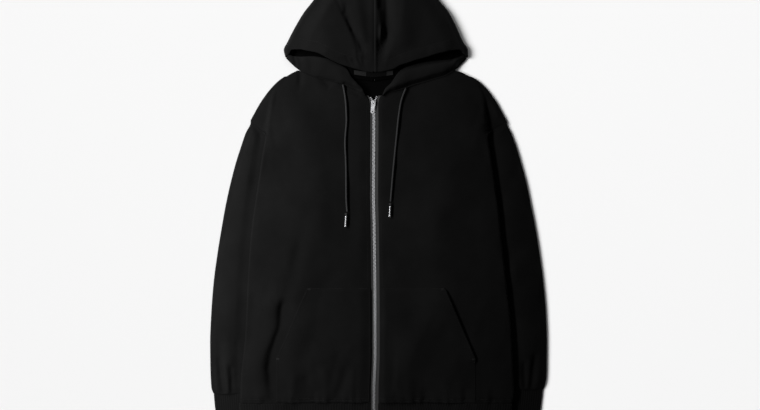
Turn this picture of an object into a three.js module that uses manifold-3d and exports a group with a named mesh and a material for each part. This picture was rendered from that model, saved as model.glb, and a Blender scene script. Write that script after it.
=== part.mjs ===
// A black zip-up hoodie laid flat on a table, front up. The hood lies flat above the shoulders, and the sleeves
// are tucked under the body's sides.
// Millimetres. x runs to the viewer's right from the zip line, y up from the hem seam, z up from the table.
// "Left" and "right" in the names are the viewer's. The group is moved at the end, so that its origin is the
// centre of the garment's box, on the table.
import * as THREE from "three";
import { mergeVertices } from "three/addons/utils/BufferGeometryUtils.js";
import Module from "manifold-3d";

const wasm = await Module();
wasm.setup();

// Cloth walls and the air between the layers
const fleece = 2.6; // one layer of brushed fleece
const ribWall = 3.0; // rib knit, folded double
const hoodWall = 4.4; // the hood is two layers throughout
const seam = 0.3; // left open between two sewn pieces
const bodyAir = 3.3; // between front and back
const ribAir = 0.6; // between the two sides of the hem rib and cuffs
const sleeveThick = 8.6; // a flattened sleeve, both layers and the air
const sleeveLift = 9.0; // how far a sleeve lifts the body that lies on it
const hoodAir = 3.6; // between the crown and the layers below it

// Main sizes
const hemBand = 66; // height of the hem rib
const armholeTop = { left: 564, right: 562 }; // where the armhole seam meets the outline
const neckDepth = 612; // the zip's top end, above the hem seam
const pocketTop = 232;
const crownTop = 900;
const ribPitch = 9; // one rib and one groove
const ribRelief = 0.7;

function table(columns, rows) {
  const names = columns.split(" ");
  return rows.map((row) => Object.fromEntries(names.map((name, i) => [name, row[i]])));
}

// The value of one column where another has a given value, on a smooth curve through the rows.
function valueAt(rows, by, value, column) {
  const sign = rows[rows.length - 1][by] > rows[0][by] ? 1 : -1;
  const last = rows.length - 1;
  if ((value - rows[0][by]) * sign <= 0) return rows[0][column];
  if ((value - rows[last][by]) * sign >= 0) return rows[last][column];
  let i = 0;
  while ((value - rows[i + 1][by]) * sign > 0) i++;
  const slope = (a, b) => (rows[b][column] - rows[a][column]) / (rows[b][by] - rows[a][by]);
  const here = slope(i, i + 1);
  const tangent = (k) => {
    if (k === 0 || k === last) return here;
    const before = slope(k - 1, k);
    const after = slope(k, k + 1);
    return before * after <= 0 ? 0 : (2 * before * after) / (before + after);
  };
  const span = rows[i + 1][by] - rows[i][by];
  const t = (value - rows[i][by]) / span;
  return (
    rows[i][column] * (1 + 2 * t) * (1 - t) ** 2 +
    rows[i + 1][column] * (3 - 2 * t) * t * t +
    tangent(i) * span * t * (1 - t) ** 2 -
    tangent(i + 1) * span * t * t * (1 - t)
  );
}

const mix = (a, b, t) => a + (b - a) * t;
const outward = (side) => (side === "left" ? -1 : 1);
const clamp01 = (t) => Math.min(1, Math.max(0, t));
const smooth = (t) => clamp01(t) ** 2 * (3 - 2 * clamp01(t));

// Outlines in plan. The armhole seam cuts the outline from the arm's outside to the body's side edge.
const bodyEdge = {
  left: table("y x", [
    [653, -180], [645, -191], [629, -207], [613, -219.5], [597, -230], [581, -239], [564, -246.5],
    [548, -229.6], [536, -217], [496, -223], [442, -231], [374, -241], [332, -246], [244, -252],
    [134, -257], [38, -266], [0, -267],
  ]),
  right: table("y x", [
    [652.5, 196], [645, 208.5], [629, 225.5], [613, 238], [597, 248.5], [581, 257], [562, 265.5],
    [548, 243], [538, 227], [500, 232], [440, 241], [390, 248], [340, 253], [280, 260], [220, 266.5],
    [160, 273], [60, 278], [24, 279], [0, 276],
  ]),
};
// The crease along which the body steps up from the arm's cap, above the armhole seam
const capCrease = {
  left: table("y x", [[650, -184], [630, -196], [606, -203], [578, -208], [536, -215], [500, -222]]),
  right: table("y x", [[650, 200], [630, 211], [606, 219], [560, 223], [538, 226], [500, 232]]),
};
const capStep = 15; // width of that step
// Inner edge of the raised strip, where the body lies on the sleeve below it
const raisedEdge = {
  left: table("y x", [
    [650, -184], [564, -172], [500, -154], [370, -120], [320, -132], [200, -166],
    [140, -174], [80, -192], [0, -202], [-66, -212],
  ]),
  right: table("y x", [
    [650, 200], [564, 190], [500, 172], [370, 140], [320, 150], [200, 180],
    [140, 190], [80, 204], [0, 212], [-66, 224],
  ]),
};
const raisedRamp = 46; // width of the slope from that strip down to the table
const liftByHeight = table("y share", [[650, 0], [600, 0.5], [555, 1], [-66, 1]]);

// Necklines and shoulders: the top edge of each panel, from the middle outwards
const frontTopEdge = {
  left: table("x y", [
    [-7, 612], [-14, 614], [-22, 621], [-36, 633], [-52, 645], [-70, 655], [-88, 661.4], [-106, 667],
    [-130, 668], [-152, 665], [-166, 660.5], [-180, 653],
  ]),
  right: table("x y", [
    [8, 612], [15, 614], [24, 621], [38, 632], [54, 643], [72, 654], [90, 660.8], [112, 667],
    [136, 668.5], [160, 666.5], [180, 660.5], [196, 652.5],
  ]),
};
const backTopEdge = {
  left: table("x y", [
    [0, 645], [-48, 652], [-80, 660], [-106, 667], [-130, 668], [-152, 665], [-166, 660.5], [-180, 653],
  ]),
  right: table("x y", [
    [0, 645], [52, 652], [86, 660], [112, 667], [136, 668.5], [160, 666.5], [180, 660.5], [196, 652.5],
  ]),
};

// The zip line sways a little, and the fronts leave more of the tape bare on the right
const zipLine = table("y x", [
  [620, -1.2], [560, -0.4], [420, -1], [345, 0.4], [200, 2], [100, 2.2], [20, -0.2], [-70, -0.2],
]);
const bareTape = { left: 6.2, right: 9 };
const zipSpread = table("y spread", [[neckDepth + 3, 6.4], [611, 4.2], [607, 2.2], [596, 0.15], [-80, 0.15]]);
const zipX = (y) => valueAt(zipLine, "y", y, "x");
const zipEdge = (side, y) =>
  zipX(y) + outward(side) * (bareTape[side] + valueAt(zipSpread, "y", y, "spread"));

// Folds: soft ridges (positive) and troughs (negative) along a line from one point to another
const bodyFolds = table("x1 y1 x2 y2 width height", [
  [-132, 372, -150, 300, 16, -1.6], [-150, 300, -180, 190, 14, -1.8], [-180, 190, -190, 130, 12, -2.6],
  [-190, 130, -206, 70, 11, -2.8], [-206, 70, -210, 4, 10, -2.9], [-214, 190, -232, 60, 20, 2.4],
  [-160, 330, -205, 190, 26, 2.2], [-136, 46, -130, 3, 7, -2.6], [-120, 30, -122, 3, 6, -2.4],
  [-60, 66, -76, 3, 8, -2.6], [-100, 60, -98, 3, 11, 1.8], [-36, 60, -40, 3, 12, 1.6],
  [-160, 50, -164, 3, 9, 1.8], [138, 194, 44, 42, 30, 3.2], [124, 370, 118, 300, 24, 1.8],
  [40, 26, 36, 3, 7, -2.2], [104, 30, 106, 3, 8, -2.4], [182, 36, 184, 3, 9, -2.4],
  [238, 40, 240, 3, 8, -2.2], [70, 40, 72, 3, 12, 1.6], [144, 40, 146, 3, 12, 1.6],
  [-190, 604, -178, 560, 12, -1.4], [96, 560, 150, 470, 30, 1.4], [-150, 540, -110, 440, 30, 1.2],
]);
const hoodFolds = table("x1 y1 x2 y2 width height", [
  [-78, 816, -50, 752, 9, -4.6], [-50, 752, -24, 690, 8, -4.2], [14, 850, 20, 770, 11, -6],
  [20, 770, 22, 735, 9, -6.4], [22, 735, 12, 688, 8, -4.6], [-40, 830, -22, 730, 12, 2.4],
  [44, 840, 48, 730, 15, 3], [-112, 800, -76, 710, 24, 2], [110, 790, 66, 700, 26, 2.2],
  [-60, 700, -46, 676, 6, -2], [4, 840, 3, 690, 5, 1.4],
]);

function foldHeight(folds, x, y) {
  let sum = 0;
  for (const fold of folds) {
    const dx = fold.x2 - fold.x1;
    const dy = fold.y2 - fold.y1;
    const along = clamp01(((x - fold.x1) * dx + (y - fold.y1) * dy) / (dx * dx + dy * dy));
    const away = Math.hypot(x - fold.x1 - along * dx, y - fold.y1 - along * dy) / fold.width;
    sum += fold.height * Math.exp(-away * away);
  }
  return sum;
}

// Height of the back panel's underside: on the table in the middle, on the sleeves at the sides.
function backUnder(x, y) {
  const side = x < 0 ? "left" : "right";
  const out = x < 0 ? -1 : 1;
  const inward = (valueAt(raisedEdge[side], "y", y, "x") - x) * out;
  const overSleeve = 1 - smooth(inward / raisedRamp);
  const outward = (x - valueAt(capCrease[side], "y", y, "x")) * out;
  const onCap = y > 500 ? 1 - smooth(outward / capStep) : 1;
  return sleeveLift * valueAt(liftByHeight, "y", y, "share") * overSleeve * onCap;
}

const hemPinch = 1.8; // the fronts draw in above the hem seam
const lowestGap = 0.4; // a fold never brings the front nearer to the back

function frontOver(x, y) {
  const calm = smooth((Math.abs(x - zipX(y)) - 34) / 14);
  const pinched = bodyAir - calm * hemPinch * (1 - smooth(y / 14));
  const gap = Math.max(lowestGap, pinched + calm * foldHeight(bodyFolds, x, y));
  return backUnder(x, y) + fleece + gap + fleece;
}

const bandGap = 9; // the neck band lies just clear of the front
const bandThick = 5.5;
const hoodBase = bandGap + bandThick + seam + hoodWall; // the crown's top, where it lies over the band

function hoodOver(x, y) {
  const halfWidth = x < 0 ? 178 : 186;
  const across = clamp01(Math.abs(x) / halfWidth);
  const up = clamp01((y - 656) / (crownTop - 656));
  const pillow = 6 * Math.sin(Math.PI * Math.sqrt(across)) * Math.sin(Math.PI * mix(0.12, 0.95, up));
  const flatAtLip = smooth((y - 660) / 40);
  return hoodBase + pillow * flatAtLip + foldHeight(hoodFolds, x, y) * smooth((y - 668) / 30);
}

// A closed wall between two grids of points, outer and inner. Each grid is a list of rows. Round walls close
// on themselves along the row.
function wallBetween(outer, inner, round = false) {
  const rows = outer.length;
  const columns = outer[0].length;
  const points = [...outer.flat(), ...inner.flat()];
  const faces = [];
  const quad = (a, b, c, d) => faces.push([a, b, c], [a, c, d]);
  const out = (r, c) => r * columns + (c % columns);
  const inn = (r, c) => rows * columns + out(r, c);
  const across = round ? columns : columns - 1;
  for (let r = 0; r < rows - 1; r++)
    for (let c = 0; c < across; c++) {
      quad(out(r, c), out(r, c + 1), out(r + 1, c + 1), out(r + 1, c));
      quad(inn(r, c), inn(r + 1, c), inn(r + 1, c + 1), inn(r, c + 1));
    }
  for (let c = 0; c < across; c++) {
    quad(out(0, c), inn(0, c), inn(0, c + 1), out(0, c + 1));
    quad(out(rows - 1, c), out(rows - 1, c + 1), inn(rows - 1, c + 1), inn(rows - 1, c));
  }
  if (!round)
    for (let r = 0; r < rows - 1; r++) {
      quad(out(r, 0), out(r + 1, 0), inn(r + 1, 0), inn(r, 0));
      quad(out(r, columns - 1), inn(r, columns - 1), inn(r + 1, columns - 1), out(r + 1, columns - 1));
    }
  return facingOut(points, faces);
}

// A closed body through rings of points, with flat ends.
function bodyThrough(rings) {
  const columns = rings[0].length;
  const points = rings.flat();
  const faces = [];
  for (let r = 0; r < rings.length - 1; r++)
    for (let c = 0; c < columns; c++) {
      const next = (c + 1) % columns;
      const [here, above] = [r * columns, (r + 1) * columns];
      const [a, b, d, e] = [here + c, here + next, above + next, above + c];
      faces.push([a, b, d], [a, d, e]);
    }
  const lastRing = (rings.length - 1) * columns;
  for (let c = 1; c < columns - 1; c++) faces.push([0, c + 1, c], [lastRing, lastRing + c, lastRing + c + 1]);
  return facingOut(points, faces);
}

function facingOut(points, faces) {
  let volume = 0;
  for (const [a, b, c] of faces) volume += points[a].dot(points[b].clone().cross(points[c]));
  const index = volume < 0 ? faces.map(([a, b, c]) => [a, c, b]) : faces;
  return new THREE.BufferGeometry().setFromPoints(points).setIndex(index.flat());
}

function solidOf(geometry) {
  const bare = geometry.clone();
  for (const name of ["normal", "uv"]) bare.deleteAttribute(name);
  const merged = mergeVertices(bare, 1e-4);
  return new wasm.Manifold(
    new wasm.Mesh({
      numProp: 3,
      vertProperties: new Float32Array(merged.attributes.position.array),
      triVerts: new Uint32Array(merged.index.array),
    }),
  );
}

function geometryOf(solid) {
  const mesh = solid.getMesh();
  return new THREE.BufferGeometry()
    .setAttribute("position", new THREE.BufferAttribute(new Float32Array(mesh.vertProperties), 3))
    .setIndex(new THREE.BufferAttribute(new Uint32Array(mesh.triVerts), 1));
}

const point = (x, y, z) => new THREE.Vector3(x, y, z);
const bodyRoll = (2 * fleece + bodyAir) / 2; // radius of the roll at the body's side edges
const rollSteps = 3;
const steps = (count) => Array.from({ length: count + 1 }, (_, i) => i / count);

// The line along which a pocket's open edge lies, carried on up to the shoulder: a column of the panels
const pocketLine = {
  left: table("y x", [[650, -116], [536, -122], [400, -126], [232, -134], [90, -196], [0, -196]]),
  right: table("y x", [[650, 124], [536, 130], [400, 134], [232, 142], [90, 203], [0, 204]]),
};

function pocketLineX(side, y) {
  const rows = pocketLine[side];
  const i = Math.min(rows.length - 2, Math.max(0, rows.findIndex((row) => row.y <= y) - 1));
  const share = clamp01((rows[i].y - y) / (rows[i].y - rows[i + 1].y));
  return mix(rows[i].x, rows[i + 1].x, share);
}

// Rows of a body panel. Above the armhole seam they fan out from the panel's top edge, and below it each
// keeps one height. A row gives the plan point for any share of the way from the middle to the side edge.
const fanRows = 5;
const frontHeights = [536, 500, 450, 405, 365, 330, 295, 262, 232, 205, 178, 150, 120, 90, 64, 40, 20, 8, 0];
const backHeights = [536, 500, 430, 365, 300, 232, 178, 120, 64, 20, 0];

function panelRows(side, topEdge, middle, heights) {
  const edge = bodyEdge[side];
  const top = edge[0];
  const shares = [...Array.from({ length: fanRows + 1 }, (_, k) => k / fanRows), ...heights.map(() => 1)];
  return shares.map((share, r) => {
    const foot = r <= fanRows ? armholeTop[side] : Math.max(heights[r - fanRows - 1], seam / 2);
    const level = mix(top.y, foot, share);
    const edgeX = valueAt(edge, "y", level, "x");
    const start = middle(topEdge[0].y);
    const at = (t, inset) => {
      const y = mix(valueAt(topEdge, "x", mix(start, top.x, t), "y"), foot, share);
      return { x: mix(middle(y), edgeX - outward(side) * inset, t), y };
    };
    const from = middle(mix(topEdge[0].y, foot, share));
    return { at, pocketShare: (pocketLineX(side, level) - from) / (edgeX - outward(side) * bodyRoll - from) };
  });
}

const toPocket = 8; // columns from the zip to the pocket's open edge
const pastPocket = 6;

function columnsOf(row, inside) {
  const near = inside.map((k) => (row.pocketShare * k) / toPocket);
  return [...near, ...steps(pastPocket).slice(1).map((t) => mix(row.pocketShare, 1, t))];
}

// The quarter roll at a side edge, from the face to the seam half way down. Up is 1 for the front.
function sideRoll(side, start, radius, wall, middleZ, up, count) {
  const outer = [];
  const inner = [];
  for (let k = 1; k <= count; k++) {
    const angle = (Math.PI / 2) * (1 - k / count);
    const least = seam / 2;
    const at = (r) =>
      point(
        start.x + outward(side) * r * Math.cos(angle),
        start.y,
        middleZ + up * Math.max(least, r * Math.sin(angle)),
      );
    outer.push(at(radius));
    inner.push(at(radius - wall));
  }
  return { outer, inner };
}

const rollAt = ({ x, y }) => (frontOver(x, y) - backUnder(x, y)) / 2;

// The plan points of a front's rows, from its zip edge to the start of its side roll
function frontPlan(side) {
  const rows = panelRows(side, frontTopEdge[side], (y) => zipEdge(side, y), frontHeights);
  const inside = Array.from({ length: toPocket + 1 }, (_, k) => k);
  return rows.map((row) => columnsOf(row, inside).map((t) => row.at(t, bodyRoll)));
}

function frontPanel(side) {
  const outer = [];
  const inner = [];
  for (const plan of frontPlan(side)) {
    const edge = plan[plan.length - 1];
    const radius = rollAt(edge);
    const rolled = sideRoll(side, edge, radius, fleece, backUnder(edge.x, edge.y) + radius, 1, rollSteps);
    outer.push([...plan.map((p) => point(p.x, p.y, frontOver(p.x, p.y))), ...rolled.outer]);
    inner.push([...plan.map((p) => point(p.x, p.y, frontOver(p.x, p.y) - fleece)), ...rolled.inner]);
  }
  return wallBetween(outer, inner);
}

const insideBack = [0, 3, 5, 6, 7, 8]; // the columns of the fronts that the back has too

function backPanel() {
  const halves = ["left", "right"].map((side) => {
    const rows = panelRows(side, backTopEdge[side], () => 0, backHeights);
    return rows.map((row) => {
      const plan = columnsOf(row, insideBack).map((t) => row.at(t, bodyRoll));
      const edge = plan[plan.length - 1];
      const radius = rollAt(edge);
      const rolled = sideRoll(side, edge, radius, fleece, backUnder(edge.x, edge.y) + radius, -1, rollSteps);
      const under = plan.map((p) => point(p.x, p.y, backUnder(p.x, p.y)));
      const over = plan.map((p) => point(p.x, p.y, backUnder(p.x, p.y) + fleece));
      return { outer: [...under, ...rolled.outer], inner: [...over, ...rolled.inner] };
    });
  });
  const whole = (key) =>
    halves[0].map((row, r) => [...row[key].slice(1).reverse(), ...halves[1][r][key]]);
  return wallBetween(whole("outer"), whole("inner"));
}

// The hem rib: a back strip and two front strips, ribbed on the side that shows
const hemEdge = {
  left: table("y x", [[0, -269], [-66, -264]]),
  right: table("y x", [[0, 276], [-66, 270]]),
};
const hemRows = [-seam / 2, -22, -44, -hemBand];
const hemRoll = (2 * ribWall + ribAir) / 2;

function ribHeight(across) {
  return ribRelief * (0.5 + 0.5 * Math.cos((2 * Math.PI * across) / ribPitch));
}

// Where the hem's layers step up from the table on to the cuffs and sleeves: shares of the ramp
const hemLevels = [0, 0.25, 0.5, 0.75, 1];

function hemPlan(side, y) {
  const out = outward(side);
  const edgeX = valueAt(hemEdge[side], "y", y, "x") - out * hemRoll;
  const raised = valueAt(raisedEdge[side], "y", y, "x");
  const xs = [0, ...hemLevels.map((share) => raised - out * raisedRamp * (1 - share)), edgeX];
  return xs.map((x) => ({ x, y, z: backUnder(x, y) }));
}

function levelAt(plan, x) {
  const i = Math.max(1, plan.findIndex((p) => Math.abs(p.x) >= Math.abs(x) - 1e-6));
  return mix(plan[i - 1].z, plan[i].z, (x - plan[i - 1].x) / (plan[i].x - plan[i - 1].x));
}

const hemColumns = 48;

function hemFront(side) {
  const outer = [];
  const inner = [];
  for (const y of hemRows) {
    const plan = hemPlan(side, y);
    const edge = plan[plan.length - 1];
    const from = zipEdge(side, y);
    const ribs = Math.round(Math.abs(edge.x - from) / ribPitch);
    const level = (x) => levelAt(plan, x) + ribWall + ribAir;
    const across = steps(hemColumns).map((t) => ({ x: mix(from, edge.x, t), t }));
    const rolled = sideRoll(side, edge, hemRoll, ribWall, edge.z + hemRoll, 1, rollSteps);
    outer.push([
      ...across.map(({ x, t }) => point(x, y, level(x) + ribWall + ribHeight(t * ribs * ribPitch))),
      ...rolled.outer,
    ]);
    inner.push([...across.map(({ x }) => point(x, y, level(x))), ...rolled.inner]);
  }
  return wallBetween(outer, inner);
}

function hemBack() {
  const outer = [];
  const inner = [];
  for (const y of hemRows) {
    const sides = ["left", "right"].map((side) => {
      const plan = hemPlan(side, y);
      const edge = plan[plan.length - 1];
      const rolled = sideRoll(side, edge, hemRoll, ribWall, edge.z + hemRoll, -1, rollSteps);
      return {
        outer: [...plan.map((p) => point(p.x, y, p.z)), ...rolled.outer],
        inner: [...plan.map((p) => point(p.x, y, p.z + ribWall)), ...rolled.inner],
      };
    });
    outer.push([...sides[0].outer.slice(1).reverse(), ...sides[1].outer]);
    inner.push([...sides[0].inner.slice(1).reverse(), ...sides[1].inner]);
  }
  return wallBetween(outer, inner);
}

// Sleeves: rings from the armhole seam to the cuff. Each ring runs from the arm's outside to its inner edge,
// which lies hidden under the body.
const sleeveRings = {
  left: table("outX outY inX inY", [
    [-247.1, 562.2, -218, 533.6], [-257.2, 540, -206, 505], [-267.4, 510, -190, 470], [-277, 480, -172, 440],
    [-287.4, 440, -152, 408], [-297.3, 395, -136, 375], [-305.3, 350, -140, 340], [-313.5, 300, -150, 300],
    [-321.4, 240, -166, 240], [-326, 180, -182, 180], [-328.4, 120, -190, 120], [-327.8, 70, -205, 70],
    [-326.8, 44, -209, 44], [-325.6, 29, -212, 29], [-322, 19, -222, 19],
  ]),
  right: table("outX outY inX inY", [
    [266.5, 559.6, 228, 534.6], [275, 540, 216, 505], [286, 510, 204, 470], [294.8, 480, 188, 440],
    [305.6, 440, 170, 408], [314.8, 395, 154, 375], [323.6, 350, 158, 340], [331.6, 300, 166, 300],
    [339.4, 240, 180, 240], [344.4, 180, 194, 180], [346.4, 120, 203, 120], [346, 74, 214, 74],
    [345.4, 52, 218, 52], [343.4, 38, 222, 38], [339.8, 28, 232, 28],
  ]),
};
const cuffRings = {
  left: table("outX outY inX inY", [
    [-321.2, 18.7, -228, 18.7], [-320, 4, -228, 4], [-317, -24, -226, -24], [-314, -48, -224, -48],
  ]),
  right: table("outX outY inX inY", [
    [338.4, 27.7, 240, 27.7], [336.8, 12, 240, 12], [333.6, -16, 238, -16], [330.6, -40, 236, -40],
  ]),
};
const sleeveFolds = table("x1 y1 x2 y2 width height", [
  [-310, 84, -300, 24, 6, -2.6], [-286, 70, -284, 24, 5, -2.4], [-297, 76, -291, 24, 6, 1.6],
  [-276, 60, -272, 24, 6, 1.4], [-319, 150, -300, 60, 12, 1], [322, 92, 314, 34, 6, -2.4],
  [300, 76, 302, 34, 5, -2.2], [311, 80, 308, 34, 6, 1.5], [-290, 380, -262, 350, 14, -1],
  [300, 470, 270, 440, 14, -1.2], [310, 300, 280, 270, 18, 0.9],
]);

// One flattened ring: the face, a half-round edge, the flat underside, and the other edge.
function flatRing(row, thick, wall, over, faceSteps) {
  const a = new THREE.Vector2(row.outX, row.outY);
  const b = new THREE.Vector2(row.inX, row.inY);
  const along = b.clone().sub(a).normalize();
  const radius = thick / 2;
  const length = a.distanceTo(b);
  const outer = [];
  const inner = [];
  const add = (s, zOuter, sInner, zInner) => {
    const p = a.clone().addScaledVector(along, s);
    const q = a.clone().addScaledVector(along, sInner);
    outer.push(point(p.x, p.y, zOuter));
    inner.push(point(q.x, q.y, zInner));
  };
  const innerRadius = radius - wall;
  for (const t of steps(faceSteps)) {
    const s = mix(radius, length - radius, t);
    const p = a.clone().addScaledVector(along, s);
    const raised = over(p.x, p.y, s, smooth(t * 6) * smooth((1 - t) * 6));
    add(s, thick + raised.outer, s, thick - wall + raised.inner);
  }
  const halfRound = (centre, turn, order) => {
    for (const k of order) {
      const angle = Math.PI / 2 - (Math.PI * k) / 4;
      const [c, s] = [turn * Math.cos(angle), Math.sin(angle)];
      add(centre + radius * c, radius + radius * s, centre + innerRadius * c, radius + innerRadius * s);
    }
  };
  halfRound(length - radius, 1, [1, 2, 3]);
  for (const t of steps(3)) {
    const s = mix(length - radius, radius, t);
    add(s, 0, s, wall);
  }
  halfRound(radius, -1, [3, 2, 1]);
  return { outer, inner };
}

function tubeOf(rings, thick, wall, over, faceSteps) {
  const made = rings.map((row) => flatRing(row, thick, wall, over, faceSteps));
  return wallBetween(made.map((r) => r.outer), made.map((r) => r.inner), true);
}

function sleeve(side) {
  const folds = (x, y, s, calm) => {
    const shown = smooth((Math.abs(x) - Math.abs(valueAt(bodyEdge[side], "y", y, "x")) - 2) / 10);
    const height = Math.max(-2.8, foldHeight(sleeveFolds, x, y)) * calm * shown;
    return { outer: height, inner: height };
  };
  return tubeOf(sleeveRings[side], sleeveThick, fleece, folds, 13);
}

const cuffThick = 2 * ribWall + ribAir;

function cuff(side) {
  const ribs = (x, y, s, calm) => ({ outer: ribHeight(s) * calm, inner: 0 });
  return tubeOf(cuffRings[side], cuffThick, ribWall, ribs, 20);
}

// Pockets lie on the fronts: their points are the front's, moved out
const pocketInset = 1.2; // back from the front's zip edge
const openingLift = 1.6; // the slanted opening stands a little away

function pocket(side) {
  const rows = frontPlan(side).slice(fanRows + 1).filter((_, r) => frontHeights[r] <= pocketTop);
  const inner = rows.map((plan) =>
    plan.slice(0, toPocket + 1).map(({ x, y }, c) => {
      const open = smooth((c / toPocket - 0.6) / 0.4) * smooth((y - 80) / 30) * smooth((pocketTop - y) / 24);
      const inset = c === 0 ? outward(side) * pocketInset : 0;
      return point(x + inset, Math.max(y, 1), frontOver(x, y) + seam + 0.15 + openingLift * open);
    }),
  );
  const outer = inner.map((row) => row.map((p) => point(p.x, p.y, p.z + fleece)));
  return wallBetween(outer, inner);
}

// The hood's two halves. A row runs from the crown's lower edge, over the top, round the outline and back
// underneath to the neck seam. The layers hidden inside share one rounded body below.
const hoodRows = {
  left: table("outX outY lipX lipY neckX neckY edge", [
    [-177.5, 692, -168, 699.5, -164, 678, 16], [-180.5, 706, -162, 706, -157, 672, 18],
    [-173, 722, -147, 705.5, -148, 667, 19], [-164, 740, -130, 702.6, -134, 668.8, 19],
    [-153, 760, -113, 698.9, -118, 668.8, 19], [-139.4, 782, -96, 690.6, -102, 667.4, 19],
    [-122, 804, -80, 682.5, -84, 662, 19], [-105.5, 828, -65, 676, -68, 658, 18],
    [-87.5, 850, -52, 672.2, -53, 654, 18], [-67, 870, -40, 668.4, -40, 651.5, 17],
    [-44.5, 886.5, -27, 664.8, -27, 649, 16], [-20, 897.3, -13, 661.5, -12, 647, 16],
    [-0.15, 900, -0.15, 660.3, -0.15, 645.6, 16],
  ]),
  right: table("outX outY lipX lipY neckX neckY edge", [
    [188.3, 692, 178, 699.5, 173, 679, 16], [188, 706, 168, 705.5, 168, 672, 18],
    [178.3, 722, 154, 703.8, 158, 667.5, 19], [169.3, 742, 138, 700, 142, 669.2, 19],
    [160, 762, 120, 695.3, 124, 668.8, 19], [148.3, 783, 102, 689.3, 108, 667.4, 19],
    [130, 805, 84, 684.8, 90, 662, 19], [113.5, 829, 68, 679.3, 72, 657.5, 18],
    [94.5, 851, 52, 674.3, 54, 653, 18], [72.5, 871, 40, 667.6, 40, 651, 17],
    [48.5, 888, 27, 664, 27, 649, 16], [24, 898, 13, 661.2, 12, 647, 16],
    [0.15, 900, 0.15, 660.3, 0.15, 645.6, 16],
  ]),
};
const neckClear = 0.6; // from the back panel's top edge, besides the seam's gap
const neckTaper = { length: 16, low: 5.6 }; // the hidden layers thin out at the back neck

function hoodUnderTop(x, y, t, row) {
  const covered = Math.min(hoodBase - hoodWall - hoodAir, hoodOver(x, y) - hoodWall - 0.6);
  const nearNeck = Math.hypot(x - row.neckX, y - row.neckY) / neckTaper.length;
  const atMiddle = 1 - smooth((Math.abs(row.neckX) - 36) / 24);
  return mix(covered, mix(neckTaper.low, covered, smooth(nearNeck)), atMiddle);
}

function hoodHalf(side) {
  const outer = [];
  const inner = [];
  for (const row of hoodRows[side]) {
    const radius = row.edge / 2;
    const wayOut = point(row.outX - row.lipX, row.outY - row.lipY, 0);
    const reach = wayOut.length() - radius;
    wayOut.normalize();
    const turn = point(row.lipX, row.lipY, 0).addScaledVector(wayOut, reach);
    const outside = [];
    const inside = [];
    for (const t of steps(9)) {
      const p = point(row.lipX, row.lipY, 0).addScaledVector(wayOut, reach * t);
      const rolledDown = (hoodOver(p.x, p.y) - row.edge) * (1 - smooth((1 - t) * reach / 40));
      const z = hoodOver(p.x, p.y) - rolledDown;
      outside.push(point(p.x, p.y, z));
      inside.push(point(p.x, p.y, z - hoodWall));
    }
    const insideRadius = hoodAir / 2;
    const insideMiddle = row.edge - hoodWall - insideRadius;
    for (const k of [1, 2, 3, 4, 5]) {
      const angle = Math.PI / 2 - (Math.PI * k) / 6;
      const [c, s] = [Math.cos(angle), Math.sin(angle)];
      const p = turn.clone().addScaledVector(wayOut, radius * c);
      const q = turn.clone().addScaledVector(wayOut, insideRadius * c);
      outside.push(p.setZ(radius + radius * s));
      inside.push(q.setZ(insideMiddle + insideRadius * s));
    }
    for (const t of steps(7)) {
      const x = mix(turn.x, row.neckX, t);
      const y = mix(turn.y, row.neckY, t);
      const atEdge = row.edge - hoodWall - hoodAir;
      outside.push(point(x, y + neckClear, 0));
      inside.push(point(x, y + neckClear, mix(atEdge, hoodUnderTop(x, y, t, row), smooth(t * 3))));
    }
    outer.push(outside);
    inner.push(inside);
  }
  return solidOf(wallBetween(outer, inner));
}

// The hood's front edge, which lies along the neckline as a soft roll from the zip to the hood's corner
const bandRows = {
  left: table("lowX lowY upX upY", [
    [-18, 613.5, -17, 617], [-25, 619.5, -21, 626], [-40, 628.5, -33, 639], [-58, 635.5, -44, 651],
    [-76, 641, -54, 668], [-94, 646.5, -74, 679], [-113, 650.5, -97, 689], [-134, 658, -122, 693],
    [-152, 667.5, -146, 692.5], [-167, 680, -163, 692],
  ]),
  right: table("lowX lowY upX upY", [
    [18, 613.5, 17, 617], [27, 620, 22, 628], [42, 624, 34, 640], [60, 628.5, 44, 655],
    [80, 636, 56, 668], [100, 641.5, 78, 676], [120, 647.5, 101, 681.5], [142, 654, 126, 685],
    [160, 665, 151, 687], [176, 680, 171, 690],
  ]),
};

function neckBand(side) {
  const rings = bandRows[side].map((row, i) => {
    const width = Math.hypot(row.upX - row.lowX, row.upY - row.lowY);
    const thick = i === 0 ? bandThick * 0.7 : bandThick;
    const edge = Math.min(thick / 2, width / 3);
    return steps(13).slice(0, 13).map((_, k) => {
      const angle = (2 * Math.PI * k) / 13;
      const across = 0.5 - 0.5 * Math.cos(angle);
      const sine = Math.sin(angle);
      const bulge = Math.sign(sine) * Math.min(1, Math.abs(sine) * (width / (2 * edge)) ** 0.5);
      return point(
        mix(row.lowX, row.upX, across),
        mix(row.lowY, row.upY, across),
        bandGap + thick / 2 + (thick / 2) * bulge,
      );
    });
  });
  return solidOf(bodyThrough(rings));
}

const hoodSide = (side) => geometryOf(hoodHalf(side).add(neckBand(side)));

// The tape and label inside the back neck, on the hidden layers of the hood
const tape = { x: -1, wide: 78, tall: 8.5, thick: 0.7, above: 6.4, lift: -0.2 };
const label = { x: 4, wide: 40, tall: 8, thick: 0.6, lift: 0.85 };
const middleNeckY = 645.6;

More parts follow.
